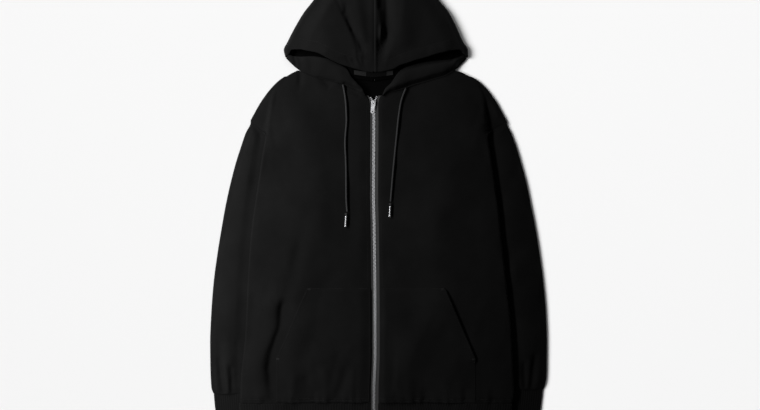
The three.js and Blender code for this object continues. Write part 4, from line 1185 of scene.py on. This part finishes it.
def flatTube(name, rings, rows, face, thick, topOf, wall, material, slot, node):
    (outX, outY, inX, inY), where = ringColumns(rings, rows)
    grid = []
    for r in range(rows):
        a = np.array([outX[r], outY[r]])
        b = np.array([inX[r], inY[r]])
        length = np.linalg.norm(b - a)
        way = (b - a) / length
        tall = thick(where[r], where[-1])
        radius = tall / 2
        s = np.linspace(radius, length - radius, face)
        p = a + s[:, None] * way
        top = tall + topOf(p[:, 0], p[:, 1], s, length)
        turn = np.linspace(math.pi / 2, -math.pi / 2, 10)[1:-1]
        lifted = radius * np.sin(turn)
        under = np.linspace(length - radius, radius, max(8, face // 3))
        places = [s, length - radius + radius * np.cos(turn), under, radius - radius * np.cos(turn)]
        levels = [top, radius + lifted, np.zeros(len(under)), radius - lifted]
        grid.append(np.column_stack([a + np.concatenate(places)[:, None] * way, np.concatenate(levels)]))
    outer = np.array(grid)
    normal = normalsOf(outer, around=True)
    centre = outer.mean(axis=1, keepdims=True)
    if ((outer - centre) * normal).sum(axis=2).mean() < 0:
        normal = -normal
    made = clothMesh(name, outer, outer - normal * wall, around=True)
    return dress(made, material, slot, "garment", node)


def tuckedIn(rings, depth):
    # one more ring before the first, so that the sleeve's sewn end lies inside the body's rolled edge
    first, second = np.array(rings[0]), np.array(rings[1])
    way = (first[:2] + first[2:] - second[:2] - second[2:]) / 2
    way = way / np.linalg.norm(way) * depth
    return [tuple(first + np.tile(way, 2)), *rings]


def makeSleeve(side):
    def top(x, y, s, length):
        edge = bodyEdge[side](y)
        shown = smooth((np.abs(x) - np.abs(edge) - 2) / 22)
        wide = np.abs(np.abs(x[0]) - np.abs(edge)) + 1
        across = np.clip(s / wide, 0, 1) ** sleeve["crest"][side]
        pillow = sleeve["high"][side] * np.sin(math.pi * across) ** 0.9
        calm = smooth(s / 14)
        height = np.maximum(sleeve["deepest"], relief(sleeveFolds, x, y)) + relief(sleeveFineFolds, x, y)
        return (height + pillow + softWaves(x, y, 40, 120, 0.6)) * calm * shown

    def thick(at, whole):
        gathered = 1 - sleeve["gathered"] * smooth(1 - (whole - at) / sleeve["gatherReach"])
        sewn = 1 - sleeve["sewn"] * smooth(1 - at / sleeve["sewnReach"])
        return cut["sleeveThick"] * gathered * sewn

    return flatTube(
        f"sleeve_{side}_cloth", tuckedIn(sleeveRings[side], sleeve["tucked"]), sleeve["rows"], sleeve["face"],
        thick, top, cut["fleece"], fleece, "fleece", f"sleeve_{side}",
    )


def makeCuff(side):
    def top(x, y, s, length):
        count = round(float(length) / cuff["pitch"])
        return ribs(s / length * count) * cuff["relief"] * smooth(s / 5) * smooth((length - s) / 5)

    return flatTube(
        f"cuff_{side}_rib", cuffRings[side], cuff["rows"], cuff["face"],
        lambda at, whole: 2 * cut["rib"] + cut["ribAir"], top, cut["rib"] * cuff["wall"], ribKnit, "rib",
        f"cuff_{side}",
    )


# Hood: each half runs from the crown's lower edge, over the top, round the outline and back to the neck seam
hoodRows = {
    "left": [
        (-177.5, 692, -168, 699.5, -164, 678, 16), (-180.5, 706, -162, 706, -157, 672, 18),
        (-173, 722, -147, 705.5, -148, 667, 19), (-164, 740, -130, 702.6, -134, 668.8, 19),
        (-153, 760, -113, 698.9, -118, 668.8, 19), (-139.4, 782, -96, 690.6, -102, 667.4, 19),
        (-122, 804, -80, 682.5, -84, 662, 19), (-105.5, 828, -65, 676, -68, 658, 18),
        (-87.5, 850, -52, 672.2, -53, 654, 18), (-67, 870, -40, 668.4, -40, 651.5, 17),
        (-44.5, 886.5, -27, 664.8, -27, 649, 16), (-20, 897.3, -13, 661.5, -12, 647, 16),
        (-0.15, 900, -0.15, 660.3, -0.15, 645.6, 16),
    ],
    "right": [
        (188.3, 692, 178, 699.5, 173, 679, 16), (188, 706, 168, 705.5, 168, 672, 18),
        (178.3, 722, 154, 703.8, 158, 667.5, 19), (169.3, 742, 138, 700, 142, 669.2, 19),
        (160, 762, 120, 695.3, 124, 668.8, 19), (148.3, 783, 102, 689.3, 108, 667.4, 19),
        (130, 805, 84, 684.8, 90, 662, 19), (113.5, 829, 68, 679.3, 72, 657.5, 18),
        (94.5, 851, 52, 674.3, 54, 653, 18), (72.5, 871, 40, 667.6, 40, 651, 17),
        (48.5, 888, 27, 664, 27, 649, 16), (24, 898, 13, 661.2, 12, 647, 16),
        (0.15, 900, 0.15, 660.3, 0.15, 645.6, 16),
    ],
}
hoodBase = cut["bandGap"] + cut["bandThick"] + cut["seam"] + cut["hood"]
hood = {
    "rows": 96,
    "columns": 70,
    "turn": 14,
    "backColumns": 24,
    "wide": {"left": 178, "right": 186},
    "neck": 656,
    "pillow": 7.5,
    "ridge": 1.6,
    "ridgeAt": 3.4,
    "hemmed": 0.35,
    "hemTall": 22,
    "edgeDrop": 40,
    "atSeam": 0.04,
}
neckTaper = {
    "length": 16,
    "low": 5.6,
    "clear": 0.6,
    "slit": 3.6,
    "slitFrom": 44,
    "slitFade": 14,
    "middleFrom": 36,
    "middleFade": 24,
}
hoodFineFolds = [
    (-84, 826, -60, 776, 4, -1.4), (-60, 776, -44, 744, 4, -1.6), (-44, 744, -30, 700, 4, -1.2),
    (10, 842, 12, 790, 5, -1.6), (26, 800, 24, 750, 5, -1.2), (8, 800, 10, 760, 5, 1.2),
    (-128, 712, -96, 700, 6, 0.6), (-150, 716, -132, 702, 5, -0.6), (150, 716, 116, 706, 7, 0.6),
    (96, 700, 60, 688, 8, 0.7), (-96, 700, -70, 690, 7, 0.6), (-38, 700, -30, 672, 4, 0.8),
    (-54, 690, -44, 668, 4, -1.0), (-20, 690, -16, 664, 4, -0.6), (30, 700, 22, 668, 5, 0.6),
    (120, 770, 90, 720, 14, -0.6), (-96, 760, -70, 716, 12, -0.5), (60, 800, 52, 740, 7, 0.6),
]
lipRise = smoothCurve([
    (-184, 0.5), (-168, 2.2), (-145, 1.2), (-112, 0.6), (-60, 0.6), (0, 0.4), (30, 0.6), (60, 1.4), (84, 2.0),
    (126, 3.0), (165, 4.6), (188, 2),
])


def hoodOver(x, y):
    across = np.clip(np.abs(x) / np.where(x < 0, hood["wide"]["left"], hood["wide"]["right"]), 0, 1)
    up = np.clip((y - hood["neck"]) / (cut["crownTop"] - hood["neck"]), 0, 1)
    pillow = hood["pillow"] * np.sin(math.pi * across ** 0.7) * np.sin(math.pi * mix(0.12, 0.95, up))
    return (
        hoodBase + pillow * rise(y, 660, 40) + lipRise(x) * np.exp(-(((y - lipY(x)) / 17) ** 2))
        + (relief(hoodFolds, x, y) + creased(hoodCreases, x, y)) * rise(y, 664, 30)
    )


def hoodLook(x, y):
    seamRidge = hood["ridge"] * np.exp(-((x - hood["ridgeAt"]) / 2.6) ** 2)
    hemmed = -hood["hemmed"] * np.exp(-((y - lipY(x) - hood["hemTall"]) / 1.0) ** 2)
    return (
        relief(hoodFineFolds, x, y) * rise(y, 662, 16) + seamRidge + hemmed
        + softWaves(x, y, 61, 110, 0.5) * rise(y, 664, 24)
    )


lipY = smoothCurve([(row[2], row[3]) for side in ("left", "right") for row in hoodRows[side]])


def makeHoodHalf(side):
    rings, _ = ringColumns(hoodRows[side], hood["rows"], byOuter=True)
    outX, outY, lipX, lipYs, neckX, neckY, edge = rings
    outerRows, innerRows = [], []
    rimHalf = cut["hood"] / 2
    for r in range(hood["rows"]):
        radius = edge[r] / 2
        lip = np.array([lipX[r], lipYs[r]])
        way = np.array([outX[r], outY[r]]) - lip
        reach = np.linalg.norm(way) - radius
        way = way / np.linalg.norm(way)
        lip = lip + way * rimHalf * 0.8
        reach -= rimHalf * 0.8
        t = np.linspace(0, 1, hood["columns"])
        p = lip + way * (reach * t)[:, None]
        z = hoodOver(p[:, 0], p[:, 1])
        down = 1 - smooth((1 - t) * reach / hood["edgeDrop"])
        z = z - (z - edge[r]) * down + hoodLook(p[:, 0], p[:, 1]) * (1 - down)
        outside = [np.column_stack([p, z])]
        inside = [np.column_stack([p, z - cut["hood"]])]
        turnAt = p[-1]
        smallRadius = cut["hoodAir"] / 2
        smallMiddle = edge[r] - cut["hood"] - smallRadius
        angle = math.pi / 2 - math.pi * np.arange(1, hood["turn"]) / hood["turn"]
        c, s = np.cos(angle), np.sin(angle)
        for turned, size, middle in ((outside, radius, radius), (inside, smallRadius, smallMiddle)):
            turned.append(np.column_stack([turnAt + way * (size * c)[:, None], middle + size * s]))
        t = np.linspace(0, 1, hood["backColumns"])
        neck = np.array([neckX[r], neckY[r] + neckTaper["clear"]])
        p = turnAt + (neck - turnAt) * t[:, None]
        covered = np.minimum(
            hoodBase - cut["hood"] - cut["hoodAir"], hoodOver(p[:, 0], p[:, 1]) - cut["hood"] - 0.8
        )
        atSide = rise(np.abs(p[:, 0]), neckTaper["slitFrom"], neckTaper["slitFade"])
        covered = mix(covered, neckTaper["slit"], atSide * smooth((lipY(p[:, 0]) + 18 - p[:, 1]) / 16))
        nearNeck = np.linalg.norm(p - neck, axis=1) / neckTaper["length"]
        atMiddle = 1 - rise(abs(neckX[r]), neckTaper["middleFrom"], neckTaper["middleFade"])
        thin = mix(neckTaper["low"], covered, smooth(nearNeck))
        level = mix(covered, thin, atMiddle)
        outside.append(np.column_stack([p, np.zeros(len(t))]))
        atEdge = edge[r] - cut["hood"] - cut["hoodAir"]
        inside.append(np.column_stack([p, mix(atEdge, level, smooth(t * 3))]))
        outerRows.append(np.concatenate(outside))
        innerRows.append(np.concatenate(inside))
    return np.array(outerRows), np.array(innerRows)


# The hood's front edge, a soft roll along the neckline: (lowX, lowY, upX, upY) rings
bandRows = {
    "left": [
        (-18, 613.5, -17, 617), (-25, 619.5, -21, 626), (-40, 628.5, -33, 639), (-58, 635.5, -44, 651),
        (-76, 641, -54, 668), (-94, 646.5, -74, 679), (-113, 650.5, -97, 689), (-134, 658, -122, 693),
        (-152, 667.5, -146, 692.5), (-167, 680, -162, 694), (-175.5, 689, -170, 697),
    ],
    "right": [
        (18, 613.5, 17, 617), (27, 620, 22, 628), (42, 624, 34, 640), (60, 628.5, 44, 655),
        (80, 636, 56, 668), (100, 641.5, 78, 676), (120, 647.5, 101, 681.5), (142, 654, 126, 685),
        (160, 665, 151, 687), (177, 680, 170, 693), (185, 689, 179, 697),
    ],
}
band = {
    "rows": 90,
    "sides": 44,
    "lean": {"left": 1.2, "right": 5.5},
    "crown": {"left": 0.6, "right": 2.4},
    "casing": 20,
    "stitched": 0.5,
    "endDrop": 6,
    "endFrom": 160,
}
bandFolds = [
    (-36, 640, -28, 622, 4, 0.8), (-58, 660, -44, 640, 5, -0.9), (-118, 668, -96, 650, 8, 0.7),
    (-150, 690, -146, 670, 5, -1.0), (-138, 690, -132, 668, 5, 0.7), (-74, 664, -66, 646, 6, 0.5),
    (46, 640, 40, 624, 5, 0.6), (84, 664, 70, 640, 7, -0.6), (120, 676, 104, 650, 9, 0.6),
    (156, 692, 150, 668, 6, -0.8), (168, 690, 164, 676, 5, 0.6),
    (-110, 648, -80, 640, 3.5, -3.0), (-58, 638, -28, 626, 3.5, -3.0), (-160, 694, -156, 676, 3, -2.2),
]
bandDrop = smoothCurve([
    (-176, 1), (-160, 3), (-140, 1.4), (-112, 0.8), (-76, 1.4), (-25, 0.5), (27, 0.5), (80, 1.2), (120, 2.2),
    (150, 4.0), (165, 4.4), (184, 2),
])


def makeBand(side):
    (lowX, lowY, upX, upY), where = ringColumns(bandRows[side], band["rows"])
    angles = np.linspace(0, 2 * math.pi, band["sides"], endpoint=False)
    grid = []
    for r in range(len(where)):
        width = math.hypot(upX[r] - lowX[r], upY[r] - lowY[r])
        thick = mix(cut["bandThick"] * 0.7, cut["bandThick"] + 1, smooth(where[r] / 16))
        flat = max(1.0, width / thick)
        c, s = np.cos(angles), np.sin(angles)
        across = 0.5 - 0.5 * np.sign(c) * np.abs(c) ** (1 / flat ** 0.35)
        bulge = np.sign(s) * np.abs(s) ** (1 / flat ** 0.3)
        x = mix(lowX[r], upX[r], across)
        y = mix(lowY[r], upY[r], across)
        z = cut["bandGap"] + thick / 2 + thick / 2 * bulge - bandDrop(lowX[r]) * smooth((across - 0.62) / 0.38)
        top = smooth(s * 2)
        stitched = -band["stitched"] * np.exp(-((across * width - band["casing"]) / 1.2) ** 2)
        lowSide = (1 - smooth((across * width - 1) / 11)) * smooth(where[r] / 26)
        crown = band["crown"][side] * np.sin(math.pi * np.clip(across * 1.2, 0, 1)) * top
        lean = band["lean"][side] * lowSide - crown
        z = np.maximum(z - lean * smooth(s * 3 + 0.4), cut["bandGap"] + (0.5 * top + s * 0.3))
        z = z - band["endDrop"] * rise(x, band["endFrom"], 14)
        z = z + (relief(bandFolds, x, y) + stitched + softWaves(x, y, 77, 60, 0.25)) * top
        grid.append(np.column_stack([x, y, z]))
    return np.array(grid)


def closedTube(name, grid):
    # a tube through rings, its ends drawn together
    shell = Shell()
    uv = clothUvs(grid)
    ids = shell.add(grid, uv)
    turned = np.roll(ids, -1, 1)
    shell.quads(ids[:-1], turned[:-1], turned[1:], ids[1:])
    for end in (0, -1):
        closeEnd(shell, ids, grid, uv, end, grid[end].mean(axis=0), [(size, 0) for size in (0.6, 0.25, 0.02)])
    return finishMesh(name, shell)


def makeHood(side):
    outer, inner = makeHoodHalf(side)
    seamed = np.where(np.abs(outer[..., :1]) < 1, hood["atSeam"], 1.0)
    made = clothMesh(f"hood_{side}_cloth", outer, inner, rim=4, bulge=seamed)
    sharpSeams(made)
    # painted shade: the hood's faces below its lip, down the neck hole, take the dark lining so that the neck
    # hole reads as deep shade
    middles = np.array([tuple(face.center) for face in made.data.polygons]) * 1000 - home
    inside = np.zeros(len(middles), int)
    made.data.polygons.foreach_get("material_index", inside)
    shadedDownNeck = middles[:, 1] < lipY(middles[:, 0]) - 5
    made.data.polygons.foreach_set("material_index", np.maximum(inside, shadedDownNeck.astype(int)))
    dress(made, fleece, "fleece", "garment", f"hood_{side}")
    edge = closedTube(f"hood_{side}_edge", makeBand(side))
    dress(edge, fleece, "fleece", "garment", f"hood_{side}")
    return made, edge


def laid(made):
    # the cut's flat area: half of a closed wall's surface is its cloth
    area = surfaceArea(made) / 2


back = makeBack()
hemBack = makeHemBack()
laid(back)
laid(hemBack)
fronts = {}
for side in ("left", "right"):
    fronts[side] = makeFront(side)
    pocketPiece = makePocket(side)
    hemPiece = makeHemFront(side)
    sleevePiece = makeSleeve(side)
    cuffPiece = makeCuff(side)
    hoodPiece, bandPiece = makeHood(side)
    print(f"cloth of the {side} side made")
    laid(fronts[side])
    laid(pocketPiece)
    laid(hemPiece)
    laid(sleevePiece)
    laid(cuffPiece)
    laid(hoodPiece)
    laid(bandPiece)

# Zip: one tooth is shaped and copied down each side, and the slider, pull and box get eased edges
teeth = {
    "wide": 2.7,
    "tall": 1.5,
    "thick": 2.3,
    "pitch": 2.76,
    "headInset": 0.28,
    "head": 0.55,
    "eased": 0.16,
    "z": 5.3,
    "top": 614,
    "bottom": -59,
}


def pickFaces(made, test):
    # selects the faces that pass the test, and stays in edit mode
    bpy.ops.object.mode_set(mode="EDIT")
    bpy.ops.mesh.select_mode(type="FACE")
    bpy.ops.mesh.select_all(action="DESELECT")
    bpy.ops.object.mode_set(mode="OBJECT")
    for face in made.data.polygons:
        face.select = bool(test(face.center, face.normal))
    bpy.ops.object.mode_set(mode="EDIT")


def makeTooth():
    bpy.ops.object.select_all(action="DESELECT")
    bpy.ops.mesh.primitive_cube_add(size=1, location=(0, 0, 0))
    tooth = bpy.context.object
    tooth.name = "zipTooth"
    bpy.ops.object.mode_set(mode="EDIT")
    bpy.ops.mesh.select_all(action="SELECT")
    bpy.ops.transform.resize(value=(teeth["wide"], teeth["tall"], teeth["thick"]))
    bpy.ops.transform.translate(value=(teeth["wide"] / 2, 0, 0))
    pickFaces(tooth, lambda middle, normal: normal.x < -0.9)
    bpy.ops.mesh.inset(thickness=teeth["headInset"])
    bpy.ops.mesh.extrude_region_move(TRANSFORM_OT_translate={"value": (-teeth["head"], 0, 0)})
    bpy.ops.object.mode_set(mode="OBJECT")
    bevelEdges(tooth, teeth["eased"], 1)
    return tooth


def makeTeeth(side, tooth):
    shape = np.array([tuple(vertex.co) for vertex in tooth.data.vertices])
    polygons = [list(face.vertices) for face in tooth.data.polygons]
    out = outward(side)
    shift = 0 if side == "left" else teeth["pitch"] / 2
    heights = np.arange(teeth["bottom"] + shift, teeth["top"], teeth["pitch"])
    points, faces = [], []
    toothX = lambda y: float(zipLine(y) + out * zipSpread(y))
    for y in heights:
        x = toothX(y)
        slope = (toothX(y + 1) - toothX(y - 1)) / 2
        turn = -math.atan(slope) + (math.pi if side == "left" else 0)
        c, n = math.cos(turn), math.sin(turn)
        turned = shape @ np.array([[c, n, 0], [-n, c, 0], [0, 0, 1]])
        first = len(points) * len(shape)
        points.append(turned + (x, y, teeth["z"]))
        faces += [[first + k for k in face] for face in polygons]
    mesh = bpy.data.meshes.new(f"teeth_{side}")
    mesh.from_pydata(toFrame(np.concatenate(points)).tolist(), [], faces)
    row = addObject(f"teeth_{side}", mesh)
    dress(row, silver, "metal", "garment", f"zip_teeth_{side}")


def easedCopy(node, name, body, width):
    # the solid's own shape with its edges eased and its faces joined
    made = bpy.data.objects[node].copy()
    made.data = made.data.copy()
    for key in [key for key in made.keys() if key.startswith("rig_")]:
        del made[key]
    made.parent = None
    made.name = name
    made.data.name = name
    bpy.context.scene.collection.objects.link(made)
    pickOnly(made)
    bpy.ops.object.mode_set(mode="EDIT")
    bpy.ops.mesh.select_all(action="SELECT")
    bpy.ops.mesh.remove_doubles(threshold=0.00001)
    bpy.ops.mesh.dissolve_limited(angle_limit=math.radians(2))
    bpy.ops.mesh.normals_make_consistent(inside=False)
    bpy.ops.object.mode_set(mode="OBJECT")
    bevelEdges(made, width, 2, angle=28)
    return dress(made, silver, "metal", body, node)


tooth = makeTooth()
for side in ("left", "right"):
    makeTeeth(side, tooth)
bpy.data.objects.remove(tooth)
easedCopy("zip_slider", "slider_cast", "garment", 0.00018)
easedCopy("zip_pull", "pull_cast", "zip_pull", 0.00016)
easedCopy("zip_box", "box_cast", "garment", 0.0003)
print("zip made")

# Stitching: short threads laid along the sewn lines
stitching = {
    "pitch": 3.1,
    "length": 2.3,
    "radius": 0.32,
    "lift": 0.12,
    "sides": 5,
    "hemRadius": 0.62,
    "hemLength": 2.9,
    "hoodRadius": 0.22,
    "belowTop": 3,
    "aboveHem": 8.5,
    "besideZip": (1.8, 7.6),
    "besidePocket": 3.6,
    "openingInset": 3.2,
    "sideInset": 3.0,
    "cornerInset": 3,
    "cornerLength": 22,
    "hemAt": 5,
    "topSeen": [(-92, -62), (-30, -12), (18, 40), (58, 66), (84, 112)],
    "hemSeen": [(-196, -150), (-126, -98), (-86, -44), (-28, -16), (78, 92), (98, 112), (180, 206), (222, 256)],
}
stitchShape = [(-1, 0.25), (-0.7, 1), (0.7, 1), (1, 0.25)]
tack = {"rows": 5, "apart": 0.8, "wide": 4.8, "length": 4.2, "radius": 0.3}


def evenly(points, pitch):
    p = np.asarray(points, float)
    length = lengthsAlong(p)
    count = max(2, int(length[-1] / pitch))
    where = (np.arange(count) + 0.5) * length[-1] / count
    at, ahead, behind = (
        np.stack([np.interp(where + step, length, p[:, k]) for k in (0, 1)], axis=1) for step in (0, 0.4, -0.4)
    )
    return at, ahead - behind


def stitchRow(shell, points, height, pitch=None, length=None, radius=None, seen=None):
    pitch = pitch or stitching["pitch"]
    half = (length or stitching["length"]) / 2
    thick = radius or stitching["radius"]
    at, way = evenly(points, pitch)
    if seen:
        kept = np.any([(at[:, 0] > low) & (at[:, 0] < high) for low, high in seen], axis=0)
        at, way = at[kept], way[kept]
    way = way / np.maximum(np.linalg.norm(way, axis=1, keepdims=True), 1e-9)
    ends = [np.column_stack([q, height(q[:, 0], q[:, 1])]) for q in (at - way * half, at + way * half)]
    middle = (ends[0] + ends[1]) / 2
    along = (ends[1] - ends[0]) / 2
    across = np.column_stack([way[:, 1], -way[:, 0], np.zeros(len(way))])
    angles = np.linspace(0, 2 * math.pi, stitching["sides"], endpoint=False)
    rings = []
    for share, size in stitchShape:
        for angle in angles:
            off = across * math.cos(angle) + np.array([0, 0, 1.0]) * math.sin(angle)
            rings.append(middle + along * share + off * thick * size + (0, 0, stitching["lift"]))
    grid = np.stack(rings, axis=1).reshape(len(at), len(stitchShape), stitching["sides"], 3)
    ids = shell.add(grid, np.zeros((*grid.shape[:-1], 2)))
    for a in range(len(stitchShape) - 1):
        low, high = ids[:, a], ids[:, a + 1]
        shell.quads(low, np.roll(low, -1, 1), np.roll(high, -1, 1), high)
    for end, order in ((ids[:, 0], (3, 2, 1, 0)), (ids[:, -1], (0, 1, 2, 3))):
        shell.quads(*(end[:, k] for k in order))
        shell.quads(*(end[:, k] for k in ((4, 3, 0, 4) if order[0] == 3 else (0, 3, 4, 0))))


def barTack(shell, x, y, height):
    half = tack["wide"] / 2
    for k in range(tack["rows"]):
        across = y + (k - tack["rows"] // 2) * tack["apart"]
        stitchRow(
            shell, [(x - half, across), (x + half, across)], height,
            pitch=tack["wide"], length=tack["length"], radius=tack["radius"],
        )


def finishStitches(name, shell, material):
    dress(finishMesh(f"stitches_{name}", shell), material, "fleece", "garment")


def sewFronts(side):
    out = outward(side)
    top = cut["pocketTop"]
    line = top - stitching["belowTop"]
    zipX = lambda y: float(zipEdge(side, y))
    pocketX = lambda y: float(pocketEdgeX(side, y))
    pocketTopOf = lambda x, y: pocketOver(side, x, y)
    corner = pocketX(top) - out * stitching["cornerInset"]
    inner = corner - out * stitching["cornerLength"]
    bend = pockets["bend"]

    shell = Shell()
    # pocket-top stitches and bar tacks in the thread toned lighter as painted highlight
    stitchRow(shell, [(corner, line), (inner, line)], pocketTopOf)
    barTack(shell, pocketX(bend) - out * 4.5, bend - 1, pocketTopOf)
    barTack(shell, pocketX(top) - out * 5, top - 4, pocketTopOf)
    finishStitches(f"pocket_{side}", shell, threadHighlight)

    shell = Shell()
    start = zipX(top) + out * 5
    stitchRow(shell, [(start, line), (inner, line)], pocketTopOf, seen=stitching["topSeen"])
    for inset, heights in (
        (stitching["openingInset"], np.linspace(top - 6, bend + 4, 40)),
        (stitching["sideInset"], np.linspace(bend - 6, 4, 20)),
    ):
        stitchRow(shell, [(pocketX(y) - out * inset, y) for y in heights], pocketTopOf)
    for inset in stitching["besideZip"]:
        heights = np.linspace(top + 2, neckDepth - 8, 160)
        stitchRow(shell, [(zipX(y) + out * inset, y) for y in heights], frontTop)
    besidePocket = [(zipX(y) + out * stitching["besidePocket"], y) for y in np.linspace(line, 4, 90)]
    stitchRow(shell, besidePocket, pocketTopOf)
    above = stitching["aboveHem"]
    farX = float(bodyEdge[side](above)) - out * 6
    stitchRow(shell, [(pocketX(above) + out * 3, above), (farX, above)], frontTop)
    stitchRow(shell, [(zipX(above) + out * 4, above), (pocketX(above) - out * 4, above)], pocketTopOf)
    finishStitches(f"front_{side}", shell, darkThread)

    # hem stitches in the painted-shade tone: dark dashes where the seam is puckered
    shell = Shell()
    low = stitching["hemAt"]
    farX = float(bodyEdge[side](low)) - out * 6
    onPocket = lambda x, y: np.abs(x) < np.abs(pocketEdgeX(side, y))
    wholeTop = lambda x, y: np.where(onPocket(x, y), pocketTopOf(x, y), frontTop(x, y))
    stitchRow(
        shell, [(zipX(low) + out * 5, low), (farX, low)], wholeTop, length=stitching["hemLength"],
        radius=stitching["hemRadius"], seen=stitching["hemSeen"],
    )
    finishStitches(f"hem_{side}", shell, hemThread)


def sewHood(side):
    out = outward(side)
    shell = Shell()
    over = lambda x, y: hoodOver(x, y) + hoodLook(x, y) - 0.1
    casing = [(out * x, float(lipY(out * x)) + 21) for x in np.linspace(4, 150, 60)]
    stitchRow(shell, casing, over, radius=stitching["hoodRadius"])
    besideSeam = [(7.2, y) for y in np.linspace(668, 862, 60)]
    stitchRow(shell, besideSeam, over, radius=stitching["hoodRadius"])
    finishStitches(f"hood_{side}", shell, darkThread)


for side in ("left", "right"):
    sewFronts(side)
    sewHood(side)
print("stitching made")

# Stage and light. The window light falls on the garment alone, and the table has a soft light of its own.
stage = {"table": (0.80, 0.80, 0.80), "under": -0.0004, "sunWidth": 34, "room": 0.03}
lamps = {
    "window": {"at": (-0.70, 0.20, 0.57), "aim": (-0.70, 0.20, 0), "power": 10.6, "size": (0.22, 1.5)},
    "highWindow": {"at": (-0.68, 0.62, 0.55), "aim": (-0.68, 0.62, 0), "power": 10.8, "size": (0.22, 0.9)},
    "overhead": {"at": (-0.3, 0.1, 1.6), "aim": (0, 0.1, 0), "power": 8, "size": (1.2, 1.6)},
    "tableSun": {"at": (-1, 0.1, 1.1), "aim": (0, 0, 0), "power": 4.3},
    "tableTop": {"at": (0, 1.2, 2.6), "aim": (0, 0.2, 0), "power": 16, "size": (3.5, 2.5)},
}


def collectionOf(name, *members):
    made = bpy.data.collections.new(name)
    for member in members:
        made.objects.link(member)
    return made


def makeStage():
    bpy.ops.object.select_all(action="DESELECT")
    bpy.ops.mesh.primitive_plane_add(size=14, location=(0, 0, stage["under"]))
    floor = bpy.context.object
    floor.name = "table"
    material = bpy.data.materials.new("paleTable")
    material.use_nodes = True
    shader = material.node_tree.nodes["Principled BSDF"]
    shader.inputs["Base Color"].default_value = (*stage["table"], 1)
    shader.inputs["Roughness"].default_value = 0.9
    shader.inputs["Specular IOR Level"].default_value = 0.0
    floor.data.materials.append(material)
    return floor


def makeLamp(name, lit):
    lamp = lamps[name]
    at, aim = Vector(lamp["at"]), Vector(lamp["aim"])
    data = bpy.data.lights.new(name, "AREA" if "size" in lamp else "SUN")
    data.energy = lamp["power"]
    if "size" in lamp:
        data.shape, data.size, data.size_y = "RECTANGLE", *lamp["size"]
    else:
        data.angle = math.radians(stage["sunWidth"])
    light = addObject(name, data)
    light.location = at
    light.rotation_euler = (aim - at).to_track_quat("-Z", "Y").to_euler()
    light.light_linking.receiver_collection = lit


floor = makeStage()
pieces = [one for one in bpy.data.objects if one.type == "MESH" and one != floor]
hooded = [one for one in pieces if one.name.startswith(("hood_", "stitches_hood"))]
metals = ("teeth_", "cordTip_", "slider_cast", "pull_cast", "box_cast")
garment = collectionOf("garment", *[one for one in pieces if one not in hooded])
hoodOnly = collectionOf("hoodOnly", *hooded)
metalOnly = collectionOf("metalOnly", *[one for one in pieces if one.name.startswith(metals)])
tableOnly = collectionOf("tableOnly", floor)
for name, lit in zip(lamps, (garment, hoodOnly, metalOnly, tableOnly, tableOnly)):
    makeLamp(name, lit)
print("table and lights made")
world = bpy.data.worlds.new("studio")
world.use_nodes = True
world.node_tree.nodes["Background"].inputs["Color"].default_value = (1, 1, 1, 1)
world.node_tree.nodes["Background"].inputs["Strength"].default_value = stage["room"]
bpy.context.scene.world = world
bpy.context.scene.view_settings.view_transform = "Standard"
